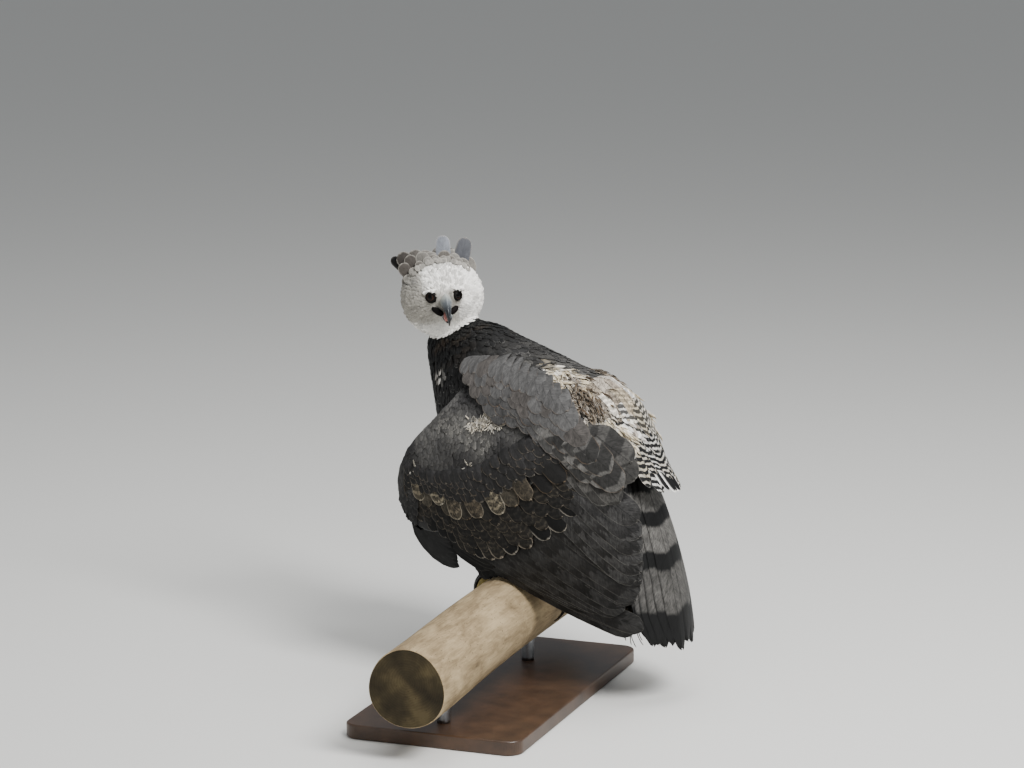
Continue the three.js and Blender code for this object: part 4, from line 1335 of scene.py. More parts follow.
RUMP_LINE = [
    # y, z
    [150, 331],
    [200, 300],
    [232, 253],
    [260, 203],
    [294, 158],
]
RUMP_LENGTH = 232
RUMP_RUN_ON = 60  # the rise of the line where it runs on before its start
RUMP_ROOF = 150.0  # as the tail's
RUMP_ROWS = [
    # count, half spread at the roots and tips, share of the line at the roots and tips, half
    # width, height at the tips
    dict(count=8, spread=(24, 40), start=0.4, end=1.0, half=13, rise=1, bars=1.0),
    dict(count=9, spread=(29, 46), start=0.28, end=0.86, half=13, rise=2, bars=1.0),
    dict(count=9, spread=(32, 50), start=0.15, end=0.71, half=12, rise=3, bars=1.0),
    dict(count=10, spread=(34, 52), start=0.02, end=0.56, half=12, rise=4, bars=0.9),
    dict(count=10, spread=(35, 52), start=-0.1, end=0.42, half=10, rise=4, bars=0.45),
    dict(count=10, spread=(34, 48), start=-0.2, end=0.28, half=9, rise=3.5, bars=0.1),
]
RUMP_DEPTH = 24.0  # of the roots under the tips


def on_rump(s, x, height):
    """Points by their share of the rump's line, to its left and over it."""
    table = spline(RUMP_LINE, 81)
    reach = np.arange(81) / 80
    y = np.interp(s, reach, table[:, 0]) + np.minimum(s, 0) * RUMP_LENGTH
    z = np.interp(s, reach, table[:, 1]) - np.minimum(s, 0) * RUMP_RUN_ON
    slope = unit(np.gradient(table, axis=0))
    way_y = np.interp(s, reach, slope[:, 0])
    way_z = np.interp(s, reach, slope[:, 1])
    fall = height - x * x / RUMP_ROOF
    return np.stack([x + 0 * y, y - way_z * fall, z + way_y * fall], -1)


def rump_vanes(stations=12, columns=7):
    """Uppertail coverts, white with black chevrons. One near the end is black with a white tip."""
    batches = []
    for tier in RUMP_ROWS:
        count = tier["count"]
        place = 2 * np.arange(count) - (count - 1)
        u = place / (count - 1)
        end = tier["end"] - 0.1 * u * u + 0.06 * (rng.random(count) - 0.5)
        half = tier["half"] * (0.9 + 0.2 * rng.random(count))
        t, w, crown = sheet(count, stations, columns, half, 0.26, ragged=0.14, fray=0.04)
        level = tier["rise"] - 0.7 * (np.abs(place) - (place > 0)) + rng.random(count)
        x = u[EACH] * between(tier["spread"], t) + w
        dip = smooth(t * 2.2)
        height = -RUMP_DEPTH * (1 - dip) + level[EACH] * dip + 0.06 * np.sign(u)[EACH] * w
        height = height + 0.12 * half[EACH] * crown
        points = on_rump(tier["start"] + (end[EACH] - tier["start"]) * t, x, height)
        dark = (tier["end"] > 0.95) & (np.abs(place - 1) < 3)
        size = RUMP_LENGTH * (end - tier["start"])
        worn = rng.random(count) < 1.2 * (1 - tier["bars"]) * smooth(u, -0.6, 0.4)
        worn = worn * rng.uniform(0.4, 1, count)
        base = layered(
            blend(CHALK, CREAM, rng.random(count)),
            (blend(TAN, UMBER, 0.5 * worn), worn),
            (ASH, 0.55 * smooth(tier["bars"], 0.5, 1)),
            (INK, dark),
        )
        look = feather_look(
            count, size, half, base, CHALK, 0.15 + 0.85 * dark, 1.2 + 4 * dark,
            10 + 3 * rng.random(count), np.where(dark, 0, tier["bars"]), 0.2 + 0.6 * worn, 0.2,
        )
        batches.append(Vanes(points, 0.5, look, None, False))
    return batches


UNDERTAIL_ROWS = [
    # count, half spread, y and z at the roots and tips, half width
    dict(count=6, spread=(20, 36), y=(176, 238), z=(146, 34), half=15),
    dict(count=7, spread=(28, 44), y=(164, 214), z=(150, 74), half=14),
]


def undertail_vanes(stations=12, columns=7):
    batches = []
    for tier in UNDERTAIL_ROWS:
        count = tier["count"]
        u = np.linspace(-1, 1, count)
        t, w, crown = sheet(count, stations, columns, tier["half"], 0.3, ragged=0.15, fray=0.04)
        x = u[EACH] * between(tier["spread"], t) + w
        y = between(tier["y"], t) - 2 * crown - 0.004 * x * x + 1.5 * u[EACH]
        z = between(tier["z"], t) + 8 * u[EACH] ** 2 + 0 * w
        look = feather_look(count, 100, tier["half"], CHALK, CHALK, 0.5, 1.5, 14.0, 0.6, 0.1, 0.2)
        batches.append(Vanes(np.stack([x, y, z], -1), 0.5, look, None, True))
    return batches


CREST_ROWS = [
    # y, lean back in degrees, half width, share of the crown at the root, and each feather's
    # degrees to the bird's left of the crown's middle with its length
    dict(y=-7, lean=26, half=4.6, root=0.98, feathers=[[d, 9] for d in range(-44, 42, 6)]),
    dict(y=-2, lean=20, half=5.6, root=0.96, feathers=[[d, 12] for d in range(-47, 44, 7)]),
    dict(y=4, lean=16, half=8.5, root=0.93,
         feathers=[[-57, 15], [-44, 15], [-31, 17], [-18, 17], [-6, 15], [6, 14], [17, 15], [29, 15],
                   [42, 13]]),
    dict(y=12, lean=6, half=11.5, root=0.88,
         feathers=[[-61, 17], [-50, 34], [-38, 36], [-24, 30], [-9, 19], [8, 24], [23, 22], [38, 20]]),
    dict(y=26, lean=14, half=13.5, root=0.86,
         feathers=[[-51, 52], [-43, 47], [-31, 38], [-12, 24], [8, 49], [22, 28], [36, 54], [49, 29]]),
    dict(y=33, lean=30, half=14, root=0.84,
         feathers=[[-46, 40], [-34, 40], [-19, 33], [-3, 26], [16, 36], [40, 38], [54, 32]]),
    dict(y=40, lean=46, half=17, root=0.8,
         feathers=[[-50, 36], [-34, 40], [-14, 34], [8, 45], [30, 45], [54, 40]]),
    dict(y=48, lean=62, half=16, root=0.72,
         feathers=[[-54, 32], [-40, 38], [-22, 40], [-2, 42], [18, 44], [38, 42], [56, 34]]),
]


CROWN_HALF_WIDTH = 66
CROWN_HEIGHT = 62
CROWN_MIDDLE = -6  # its height in the head's frame


def crest_vanes(stations=12, columns=9):
    """The raised crest: broad rounded feathers with soft pale edges, two of them tall."""
    batches = []
    for tier in CREST_ROWS:
        degrees, size = np.array(tier["feathers"], float).T
        count = len(size)
        small = size < 13
        turn = np.radians(degrees + 3.5 * small * rng.standard_normal(count))
        size = size * (1 + 0.2 * small * rng.standard_normal(count))
        out = np.stack([np.sin(turn), 0 * turn, np.cos(turn)], -1)
        aside = out[:, 0] * CROWN_HALF_WIDTH * tier["root"]
        above = out[:, 2] * CROWN_HEIGHT * tier["root"] + CROWN_MIDDLE
        root = np.stack([aside, 0 * turn + tier["y"], above], -1)
        lobe = smooth(-degrees, 14, 40)
        up = unit(out * np.stack([0.5 + 0.3 * lobe, 0 * lobe, 1 + 0 * lobe], -1))
        back = np.radians(tier["lean"] + 8 * (rng.random(count) - 0.5))[:, None]
        along = up * np.cos(back) + np.array([0, 1.0, 0]) * np.sin(back)
        face = unit(np.array([0, -1.0, 0]) + along * along[:, 1:2])
        side = np.cross(along, face)
        tall = smooth(size, 46, 49)
        half = tier["half"] * (0.94 + 0.12 * rng.random(count))
        black = (size > 51) & (degrees < 0)
        half = np.where(black, 9.0, half)
        t, w, crown = sheet(count, stations, columns, half, np.clip(1.05 * half / size, 0.2, 0.7),
                            ragged=0.03, fray=0.012)
        bend = 0.1 * size[EACH] * t * t + 0.012 * w * w - 0.06 * half[EACH] * crown
        local = (
            root[EACH] + along[EACH] * (t * size[EACH])[..., None]
            + side[EACH] * w[..., None] - face[EACH] * bend[..., None]
        )
        wild = rng.random(count)
        shade = lobe * (size > 20)
        base = layered(
            blend(ASH, blend(STEEL_GREY, UMBER, 0.4), np.maximum(0.7 * wild, 0.95 * shade)),
            (CHARCOAL, 0.6 * shade * wild),
            (blend(BLUE_GREY, LEAD, degrees > 20), tall * (degrees > 0)),
            (PALE_GREY, (0.05 + 0.5 * wild) * small),
            (INK, black),
        )
        strength = 0.55 - 0.15 * tall - 0.3 * black - 0.42 * small
        look = feather_look(count, size, half, base, blend(WARM_GREY, PALE_GREY, 0.5), strength,
                            3.4 - 1.6 * small, mottle=0.12, shaft=0.15)
        batches.append(Vanes(from_head(local), 0.45, look, None, False))
    return batches


# Materials


def feed(node, inputs):
    """Gives a node's inputs, by name or in their order, a value, another node's output, or a
    node, which stands for its first output."""
    for key, value in inputs.items() if isinstance(inputs, dict) else enumerate(inputs):
        if isinstance(value, bpy.types.Node):
            value = value.outputs[0]
        if isinstance(value, bpy.types.NodeSocket):
            node.id_data.links.new(value, node.inputs[key])
        else:
            node.inputs[key].default_value = value


def add(tree, kind, inputs=(), ramp=(), **settings):
    """Adds a node with its settings and links."""
    made = tree.nodes.new("ShaderNode" + kind)
    for key, value in settings.items():
        setattr(made, key, value)
    feed(made, inputs)
    if ramp:
        stops = made.color_ramp.elements
        while len(stops) < len(ramp):
            stops.new(0.5)
        for stop, (place, colour) in zip(stops, ramp):
            stop.position = place
            stop.color = (*colour, 1)
    return made


def new_material(name, surface):
    """An empty material with its principled shader, whose sockets take the surface's values."""
    material = bpy.data.materials.new(name)
    material.use_nodes = True
    tree = material.node_tree
    tree.nodes.clear()
    shader = add(tree, "BsdfPrincipled", surface)
    add(tree, "OutputMaterial", {"Surface": shader})
    return material, tree, shader


def feather_material(name, roughness, gloss, bar_colour, slope=0.2, waver=5.0, bands=(), streaks=0.35):
    """Keratin vanes. Fine barbs run aslant from the shaft and catch the light as streaks, which are
    partly the barbs' own tone and partly painted light in the colour; bars cross the vane, dark
    mottles lie between them and a pale fringe runs round the worn edge. All are laid out in
    millimetres along and beside the shaft."""
    material, tree, shader = new_material(name, {"Roughness": roughness, "Specular IOR Level": gloss})
    place = add(tree, "SeparateXYZ", [add(tree, "UVMap", uv_map="vane")]).outputs
    base, fringe, marks, spans = (add(tree, "Attribute", attribute_name=key) for key in LOOK)
    mark = add(tree, "SeparateColor", [marks]).outputs
    span = add(tree, "SeparateColor", [spans]).outputs
    seed = add(tree, "Math", [mark["Blue"], 40.0], operation="MULTIPLY")
    size = add(tree, "Math", [span["Red"], LONGEST], operation="MULTIPLY")
    half = add(tree, "Math", [span["Green"], WIDEST], operation="MULTIPLY")
    along = add(tree, "Math", [place["Y"], size], operation="MULTIPLY")
    offset = add(tree, "Math", [place["X"], 2.0, -1.0], operation="MULTIPLY_ADD")
    beside = add(tree, "Math", [offset, half], operation="MULTIPLY")
    across = add(tree, "Math", [beside], operation="ABSOLUTE")
    # barbs, drawn 1.5 mm apart, as fine as still shows
    slant = add(tree, "Math", [across, -0.8, along], operation="MULTIPLY_ADD")
    lane = add(tree, "CombineXYZ", [slant, beside, seed])
    thin_lane = add(tree, "VectorMath", [lane, (0.62, 0.07, 1.0)], operation="MULTIPLY")
    barbs = add(tree, "TexNoise", {"Vector": thin_lane, "Scale": 1.0, "Detail": 2.0, "Roughness": 0.65})
    wide_lane = add(tree, "VectorMath", [lane, (0.07, 0.12, 1.0)], operation="MULTIPLY")
    worn = add(tree, "TexNoise", {"Vector": wide_lane, "Scale": 1.0, "Detail": 2.0, "Roughness": 0.6})
    # bars across the vane, pointed at the shaft and wavering
    waved = add(tree, "Math", [worn, waver, along], operation="MULTIPLY_ADD")
    waved = add(tree, "Math", [across, slope, waved], operation="MULTIPLY_ADD")
    if bands:
        share = add(tree, "Math", [waved, size], operation="DIVIDE")
        colour = add(tree, "ValToRGB", [share], ramp=bands)
    else:
        period = add(tree, "Math", [mark["Red"], LONGEST_BAR], operation="MULTIPLY")
        phase = add(tree, "Math", [waved, period], operation="DIVIDE")
        phase = add(tree, "Math", [phase, mark["Blue"]], operation="ADD")
        wave = add(tree, "Math", [phase, 0.5], operation="PINGPONG")
        bar = add(tree, "MapRange", [wave, 0.15, 0.23], interpolation_type="SMOOTHSTEP")
        bar = add(tree, "Math", [bar, mark["Green"]], operation="MULTIPLY")
        colour = add(tree, "Mix", {0: bar, 6: base, 7: (*bar_colour, 1)}, data_type="RGBA").outputs[2]
    # dark mottles of about 5 mm
    spot_lane = add(tree, "VectorMath", [lane, (0.24, 0.2, 1.0)], operation="MULTIPLY")
    spots = add(tree, "TexNoise", {"Vector": spot_lane, "Scale": 1.0, "Detail": 3.0, "Roughness": 0.7,
                                   "Distortion": 0.6})
    mottle = add(tree, "MapRange", [spots, 0.46, 0.6], interpolation_type="SMOOTHSTEP")
    mottle = add(tree, "Math", [mottle, base.outputs["Alpha"]], operation="MULTIPLY")
    colour = add(tree, "Mix", {0: mottle, 6: colour, 7: (*INK, 1)}, data_type="RGBA").outputs[2]
    # a fringe along the edges and round the tip, broken where the barbs are worn
    inner = add(tree, "Math", [half, across], operation="SUBTRACT")
    ahead = add(tree, "Math", [size, along], operation="SUBTRACT")
    depth = add(tree, "Math", [inner, ahead], operation="MINIMUM")
    depth = add(tree, "Math", [worn, 2.4, depth], operation="MULTIPLY_ADD")
    width = add(tree, "Math", [span["Blue"], WIDEST_FRINGE, 1.2], operation="MULTIPLY_ADD")
    rim = add(tree, "MapRange", [depth, width, 0.9], interpolation_type="SMOOTHSTEP")
    grown = add(tree, "MapRange", [place["Y"], 0.3, 0.85], interpolation_type="SMOOTHSTEP")
    rim = add(tree, "Math", [rim, grown], operation="MULTIPLY")
    rim = add(tree, "Math", [rim, fringe.outputs["Alpha"]], operation="MULTIPLY")
    colour = add(tree, "Mix", {0: rim, 6: colour, 7: fringe}, data_type="RGBA").outputs[2]
    # the shaft, darker than the vane
    shaft = add(tree, "MapRange", [across, 1.1, 0.4], interpolation_type="SMOOTHSTEP")
    shaft = add(tree, "Math", [shaft, marks.outputs["Alpha"]], operation="MULTIPLY")
    colour = add(tree, "Mix", {0: shaft, 6: colour, 7: (*INK, 1)}, data_type="RGBA").outputs[2]
    # lighter and darker streaks along the barbs: partly the barbs' own tone, partly painted light where they
    # catch it
    streak = add(tree, "MapRange", [barbs, 0.25, 0.75, 1 - streaks, 1 + streaks])
    fade = add(tree, "MapRange", [worn, 0.3, 0.7, 1 - streaks, 1 + streaks])
    shade = add(tree, "Math", [streak, fade], operation="MULTIPLY")
    colour = add(tree, "VectorMath", {0: colour, "Scale": shade}, operation="SCALE")
    bump = add(tree, "Bump", {"Height": barbs, "Strength": 0.4, "Distance": 0.0005})
    feed(shader, {"Base Color": colour, "Normal": bump})
    return material


# Black and grey bands of the tail, by their share of the way from a feather's root to its tip
TAIL_GREY = linear("#565451")
TAIL_BANDS = [
    (0.0, INK),
    (0.235, INK),
    (0.25, TAIL_GREY * 1.1),
    (0.33, TAIL_GREY * 1.1),
    (0.345, INK),
    (0.405, INK),
    (0.42, TAIL_GREY * 1.1),
    (0.535, TAIL_GREY * 1.1),
    (0.55, INK),
    (0.622, INK),
    # painted shade: the grey band nearest the tip, lowest on the hanging tail, is painted darker (0.8) than
    # the two above it (1.1)
    (0.64, TAIL_GREY * 0.8),
    (0.835, TAIL_GREY * 0.8),
    (0.855, INK),
    (1.0, INK),
]

# soft matt vanes of the face, crest and belly, which give the head its powdery look
pale_vane = feather_material("pale_feather_keratin", 0.8, 0.15, ASH, streaks=0.14)
# back and wing coverts, dark slate with a dull gloss
dark_vane = feather_material("slate_feather_keratin", 0.6, 0.2, INK, streaks=0.2)
# zebra-barred rump, thighs and mottled coverts
mottled_vane = feather_material("barred_feather_keratin", 0.7, 0.18, INK, slope=0.5, waver=9.0, streaks=0.28)
# long stiff quills of the wing, near black with faint grey bars
flight_vane = feather_material("flight_feather_keratin", 0.55, 0.2, STEEL_GREY, waver=60.0, streaks=0.5)
# the tail's broad bands
tail_vane = feather_material("banded_tail_keratin", 0.55, 0.2, INK, waver=9.0, bands=TAIL_BANDS)


def skin_material():
    """Feathered skin with its down, soft and matt, in the colours of the coat over it."""
    material, tree, shader = new_material("downy_skin", {"Roughness": 0.9, "Sheen Weight": 0.2})
    base = add(tree, "Attribute", attribute_name="base")
    coords = add(tree, "TexCoord").outputs["Object"]
    down = add(tree, "TexNoise", {"Vector": coords, "Scale": 420.0, "Detail": 4.0, "Distortion": 0.6})
    shade = add(tree, "MapRange", {"Value": down, "To Min": 0.45, "To Max": 1.1})
    colour = add(tree, "VectorMath", {0: base, "Scale": shade}, operation="SCALE")
    bump = add(tree, "Bump", {"Height": down, "Strength": 0.8, "Distance": 0.001})
    feed(shader, {"Base Color": colour, "Normal": bump})
    return material


def plain_material(name, low, high, scale, depth, surface):
    """A natural surface whose colour and height vary with one noise of a given scale."""
    material, tree, shader = new_material(name, surface)
    coords = add(tree, "TexCoord").outputs["Object"]
    noise = add(tree, "TexNoise", {"Vector": coords, "Scale": scale, "Detail": 5.0, "Roughness": 0.6})
    colour = add(tree, "ValToRGB", [noise], ramp=[(0.3, linear(low)), (0.7, linear(high))])
    bump = add(tree, "Bump", {"Height": noise, "Strength": 0.5, "Distance": depth})
    feed(shader, {"Base Color": colour, "Normal": bump})
    return material


# black horn with a sharp shine, which sets the claws off from the toes
claw_horn = plain_material("black_claw_horn", "#0c0c0d", "#242426", 220.0, 0.0003, {"Roughness": 0.25})
# bare black skin in the corners of the mouth, matt; its near-black is partly the skin's own colour and
# partly painted shade of the open mouth's gap
bare_skin = {"Roughness": 0.7, "Specular IOR Level": 0.1}
gape_skin_and_shade = plain_material("bare_gape_skin_and_painted_shade", "#060505", "#120d0c", 300.0, 0.0004, bare_skin)
# bare dark skin that frames the eyes
lid_skin = plain_material("bare_eyelid_skin", "#090807", "#1a1614", 500.0, 0.0003, bare_skin)
# moist flesh, the one pink spot in the open bill
tongue_flesh = plain_material("moist_tongue_flesh", "#94564f", "#c78b80", 300.0, 0.0003, {"Roughness": 0.35})
# dry yellow horn scales with a low waxy shine
leg_skin = plain_material("horny_leg_scales", "#8c7a3f", "#c3ad62", 120.0, 0.0006, {"Roughness": 0.5})
# brushed steel, a soft grey shine without sharp reflections
steel = plain_material("brushed_stainless_steel", "#8b8d90", "#a6a8ab", 90.0, 0.0001,
                       {"Roughness": 0.35, "Metallic": 1.0})
# oiled walnut, dark brown with a satin shine
stand_wood = plain_material("oiled_walnut", "#35261b", "#4d3828", 30.0, 0.0002, {"Roughness": 0.4})


def horn_material():
    """Bill horn: a pale grey cere at the root, then slate horn that darkens to the hook and
    catches a long highlight along its ridge. The pale grey of the cere and the upper horn is partly
    the bill's own grey and partly painted reflection of the bright sky."""
    material, tree, shader = new_material("polished_bill_horn", {"Roughness": 0.24})
    share = add(tree, "Attribute", attribute_name="share").outputs["Fac"]
    coords = add(tree, "TexCoord").outputs["Object"]
    noise = add(tree, "TexNoise", {"Vector": coords, "Scale": 260.0, "Detail": 3.0})
    place = add(tree, "Math", [noise, 0.12, share], operation="MULTIPLY_ADD")
    # painted reflection: the pale greys up to 0.44 stand partly for the bright sky reflected on the cere and
    # upper horn
    tones = [(0.0, "#a9aba4"), (0.44, "#949894"), (0.57, "#666b6e"), (0.72, "#2f3236"), (1.0, "#101011")]
    colour = add(tree, "ValToRGB", [place], ramp=[(at, linear(code)) for at, code in tones])
    bump = add(tree, "Bump", {"Height": noise, "Strength": 0.3, "Distance": 0.0003})
    feed(shader, {"Base Color": colour, "Normal": bump})
    return material


def log_materials():
    """Bare weathered wood: long pale fibres with dark knots and specks, and a dark cut end with
    its rings and drying cracks."""
    finishes = []
    for name, cut in (("weathered_bare_wood", False), ("dark_cut_end_grain", True)):
        material, tree, shader = new_material(name, {"Roughness": 0.85, "Specular IOR Level": 0.2})
        coords = add(tree, "TexCoord").outputs["Object"]
        turned = add(tree, "VectorRotate", {"Vector": coords, "Angle": -LOG_TURN}, rotation_type="Z_AXIS")
        if cut:
            middle = row(-LOG_RADIUS * UP + LOG_NEAR_END * LOG_ALONG)
            middle = np.array(Matrix.Rotation(-LOG_TURN, 3, "Z")) @ middle
            from_core = add(tree, "VectorMath", [turned, tuple(middle)], operation="SUBTRACT")
            flat = add(tree, "VectorMath", [from_core, (0.0, 1.0, 1.0)], operation="MULTIPLY")
            wobble = add(tree, "TexNoise", {"Vector": flat, "Scale": 38.0, "Detail": 3.0})
            radius = add(tree, "VectorMath", [flat], operation="LENGTH").outputs["Value"]
            ring = add(tree, "Math", [wobble, 0.012, radius], operation="MULTIPLY_ADD")
            ring = add(tree, "Math", [ring, 1600.0], operation="MULTIPLY")
            grain = add(tree, "Math", [ring], operation="SINE")
            grain_share = 0.02
            blotch = add(tree, "TexNoise", {"Vector": flat, "Scale": 24.0, "Detail": 5.0})
            tones = [(0.3, "#1f1a11"), (0.5, "#332c1d"), (0.68, "#4b412c")]
        else:
            fibre = add(tree, "VectorMath", [turned, (26.0, 320.0, 320.0)], operation="MULTIPLY")
            grain = add(tree, "TexNoise", {"Vector": fibre, "Scale": 1.0, "Detail": 4.0, "Roughness": 0.6})
            grain_share = 0.36
            patch = add(tree, "VectorMath", [turned, (13.0, 40.0, 40.0)], operation="MULTIPLY")
            blotch = add(tree, "TexNoise", {"Vector": patch, "Scale": 1.0, "Detail": 5.0, "Roughness": 0.65,
                                            "Distortion": 0.5})
            tones = [(0.4, "#584b39"), (0.56, "#7d6c52"), (0.72, "#958365"), (0.9, "#ab9877")]
        tone = add(tree, "Math", [grain, grain_share, blotch], operation="MULTIPLY_ADD")
        colour = add(tree, "ValToRGB", [tone], ramp=[(at, linear(code)) for at, code in tones])
        specks = add(tree, "TexVoronoi", {"Vector": turned, "Scale": 120.0})
        speck = add(tree, "MapRange", {"Value": specks, "From Min": 0.16, "From Max": 0.08, "To Max": 0.7})
        dark = (*linear("#2e261c"), 1)
        colour = add(tree, "Mix", {0: speck, 6: colour, 7: dark}, data_type="RGBA").outputs[2]
        bump = add(tree, "Bump", {"Height": tone, "Strength": 0.5, "Distance": 0.0012})
        feed(shader, {"Base Color": colour, "Normal": bump})
        finishes.append(material)
    return finishes


bill_horn = horn_material()
log_wood, cut_wood = log_materials()

# Build

skin = make_skin()
ground = Ground(skin.data)
open_sockets(skin.data)

body = coat_from_loft(
    ground, body_rings(COAT_DEPTH), body_plumage, body_spacing, candidates=60000
)
head = clear_of_eyes(coat_from_loft(
    ground, head_rings(FACE_DEPTH), head_plumage, head_spacing, candidates=90000,
    keep=clear_of_face, columns=3,
))
body_roots = body.points[:, 0, 0]
head_roots = to_head(head.points[:, 0, 0])
is_neck = body_roots[:, 1] < -60
is_front = ~is_neck & (body_roots[:, 2] < 210 + 0.5 * body_roots[:, 1])
is_face = head_roots[:, 1] < -20
coats = {
    "coat_neck": (part_of(body, is_neck), dark_vane, "dark_feathers"),
    "coat_belly": (part_of(body, is_front), pale_vane, "pale_feathers"),
    "coat_back": (part_of(body, ~is_neck & ~is_front), mottled_vane, "mottled_feathers"),
    "coat_face": (part_of(head, is_face), pale_vane, "pale_feathers"),
    "coat_crown": (part_of(head, ~is_face), pale_vane, "pale_feathers"),
    "brow_tufts": (brow_tufts(ground), pale_vane, "pale_feathers"),
    "shoulder_down": (shoulder_down(ground), pale_vane, "pale_feathers"),
}
for side, name in SIDES:
    thigh = coat_from_loft(
        ground, thigh_rings(side, COAT_DEPTH), thigh_plumage, thigh_spacing, candidates=9000
    )
    coats[f"coat_thigh_{name}"] = (thigh, mottled_vane, "pale_feathers")
    coats[f"coat_arm_{name}"] = (arm_coat(ground, WINGS[name]), dark_vane, "dark_feathers")
    coats[f"back_down_{name}"] = (back_down(ground, WINGS[name]), mottled_vane, "mottled_feathers")
for name, (batch, material, slot) in coats.items():
    vane_piece(name, [batch], material, slot)


def colour_skin():
    """The skin takes the colours of the feathers that grow nearest."""
    batches = [batch for batch, _, _ in coats.values()]
    roots = np.concatenate([batch.points[:, 0].mean(1) for batch in batches])
    base = np.concatenate([batch.look["base"] for batch in batches])
    tree = neighbours(roots)
    points = mesh_points(skin.data)
    colours = np.array([base[[j for _, j, _ in tree.find_n(p, 3)]].mean(0) for p in points])
    give(skin.data, "base", colours.ravel(), "FLOAT_COLOR")


colour_skin()
skin.data.materials.append(skin_material())
finished(skin, "pale_feathers", "head", "neck", "torso", "thigh_left", "thigh_right")

for name, place in WINGS.items():
    quills = with_cells([wing_vanes(place, WING_TIERS[tier]) for tier in QUILLS])
    vane_piece(f"wing_quills_{name}", quills, flight_vane, "flight_feathers", f"wing_{name}")
    others = [tier for key, tier in WING_TIERS.items() if key not in QUILLS]
    others += rows_between(COVERTS_ABOVE, COVERTS_BELOW, COVERT_ROWS, (8.5, 0.0), 5.5, 0)
    others += rows_between(SCAPULARS_ABOVE, SCAPULARS_BELOW, SCAPULAR_ROWS, (15.0, 11.0), 4.0, 4)
    coverts = [wing_vanes(place, tier, 12, 7) for tier in others]
    vane_piece(f"wing_coverts_{name}", with_cells(coverts), mottled_vane, "mottled_feathers")
vane_piece("tail_feathers", with_cells([tail_vanes()]), tail_vane, "flight_feathers", "tail")
vane_piece("tail_coverts", with_cells(rump_vanes() + undertail_vanes()), mottled_vane, "mottled_feathers")
vane_piece("crest", with_cells(crest_vanes()), pale_vane, "pale_feathers")


# Bill, tongue, eyes and lids

UPPER_BILL = [
    # y, z, half width, half height
    [-45, -5, 8, 12.5],
    [-49, -5, 9.6, 13.6],
    [-54, -5, 10, 13.2],
    [-63, -7, 8.8, 12.2],
    [-73, -12, 6.8, 10.4],
    [-81, -20.5, 4.6, 8],
    [-85, -30.5, 2.8, 5],
    [-84.5, -41, 0.9, 1.3],
]
LOWER_BILL = [
    [-40, -27, 11, 4.6],
    [-52, -29.5, 9.6, 4.2],
    [-63, -33, 7.2, 3.6],
    [-72, -37, 3, 2.2],
]
TONGUE_LINE = [[0, -50, -23], [-1, -58, -25], [-2.6, -66, -29.5], [-3.6, -71.5, -34.5]]


def bill_rings(table, count, sides, ridge):
    """Rings of one half of the bill, drawn in towards its ridge."""
    y, z, half, high = spline(table, count).T
    path = np.stack([0 * y, y, z], -1)
    along = unit(np.gradient(path, axis=0))
    over = np.stack([0 * y, along[:, 2], -along[:, 1]], -1)
    c, s = circle(sides, 0.5)
    pinch = 1 - ridge * np.maximum(c, 0) ** 2
    local = path[:, None] + over[:, None] * (high[:, None] * c)[..., None]
    local[..., 0] += half[:, None] * s * pinch
    return from_head(local)


def share_along(piece, sides):
    """Marks each vertex of a lofted piece with its share of the way along."""
    count = len(piece.data.vertices) // sides
    shares = np.repeat(np.linspace(0, 1, count), sides)
    give(piece.data, "share", shares)
    return piece


BILL_SIDES = 36
upper = lofted("upper_bill", row(bill_rings(UPPER_BILL, 56, BILL_SIDES, 0.5)), bill_horn)
finished(share_along(upper, BILL_SIDES), "bill_horn", "bill_upper")
lower = lofted("lower_bill", row(bill_rings(LOWER_BILL, 30, BILL_SIDES, 0.0)), bill_horn)
finished(share_along(lower, BILL_SIDES), "bill_horn", "bill_lower")
tongue_path = from_head(spline(TONGUE_LINE, 18))
tongue_radii = spline([[3.2], [4.4], [4.5], [1.7]], 18)[:, 0]
tongue_rings = tube_rings(tongue_path, tongue_radii, 20, HEAD_AXES[:, 0])
finished(lofted("tongue_tip", row(tongue_rings), tongue_flesh), "mouth_flesh", "tongue")


def eye_material():
    """Clear cornea over a dark brown iris: a wet gloss over a colour that runs to black inside."""
    gloss = {"Roughness": 0.25, "Specular IOR Level": 0.1, "Coat Weight": 0.14, "Coat Roughness": 0.03}
    material, tree, shader = new_material("wet_dark_eye", gloss)
    gaze = add(tree, "Attribute", attribute_name="gaze").outputs["Fac"]
    tones = [(0.0, "#030202"), (0.36, "#040303"), (0.44, "#332117"), (0.7, "#291a11"), (0.9, "#060403")]
    colour = add(tree, "ValToRGB", [gaze], ramp=[(at, linear(code)) for at, code in tones])
    feed(shader, {"Base Color": colour})
    return material


eye_surface = eye_material()
IRIS_REACH = math.radians(62)  # from the pupil's middle to where the eye's colours end


def make_eye(side, name):
    bm = bmesh.new()
    bmesh.ops.create_uvsphere(bm, u_segments=48, v_segments=32, radius=EYE_RADIUS)
    gaze = Vector(GAZES[side])
    turn = gaze.to_track_quat("Z", "Y").to_matrix()
    bmesh.ops.rotate(bm, matrix=turn, verts=bm.verts)
    shares = []
    for vert in bm.verts:
        shares.append(min(gaze.angle(vert.co) / IRIS_REACH, 1.0))
        vert.co = Vector(row(from_head(np.array(vert.co) + EYE_SPOTS[side])))
    piece = new_piece(f"eyeball_{name}", bm, eye_surface)
    give(piece.data, "gaze", shares)
    finished(piece, "eye", f"eye_{name}")


LID_PROFILE = (
    # degrees out from the opening's edge and distance from the eye's middle
    (0.0, 12.3),
    (-1.5, 12.9),
    (1.5, 13.9),
    (6.0, 14.4),
    (12.0, 14.1),
    (20.0, 13.0),
    (28.0, 11.8),
    (12.0, 11.9),
)
LID_OPENINGS = {-1: (38, 31), 1: (23, 32)}  # half width and half height, in degrees


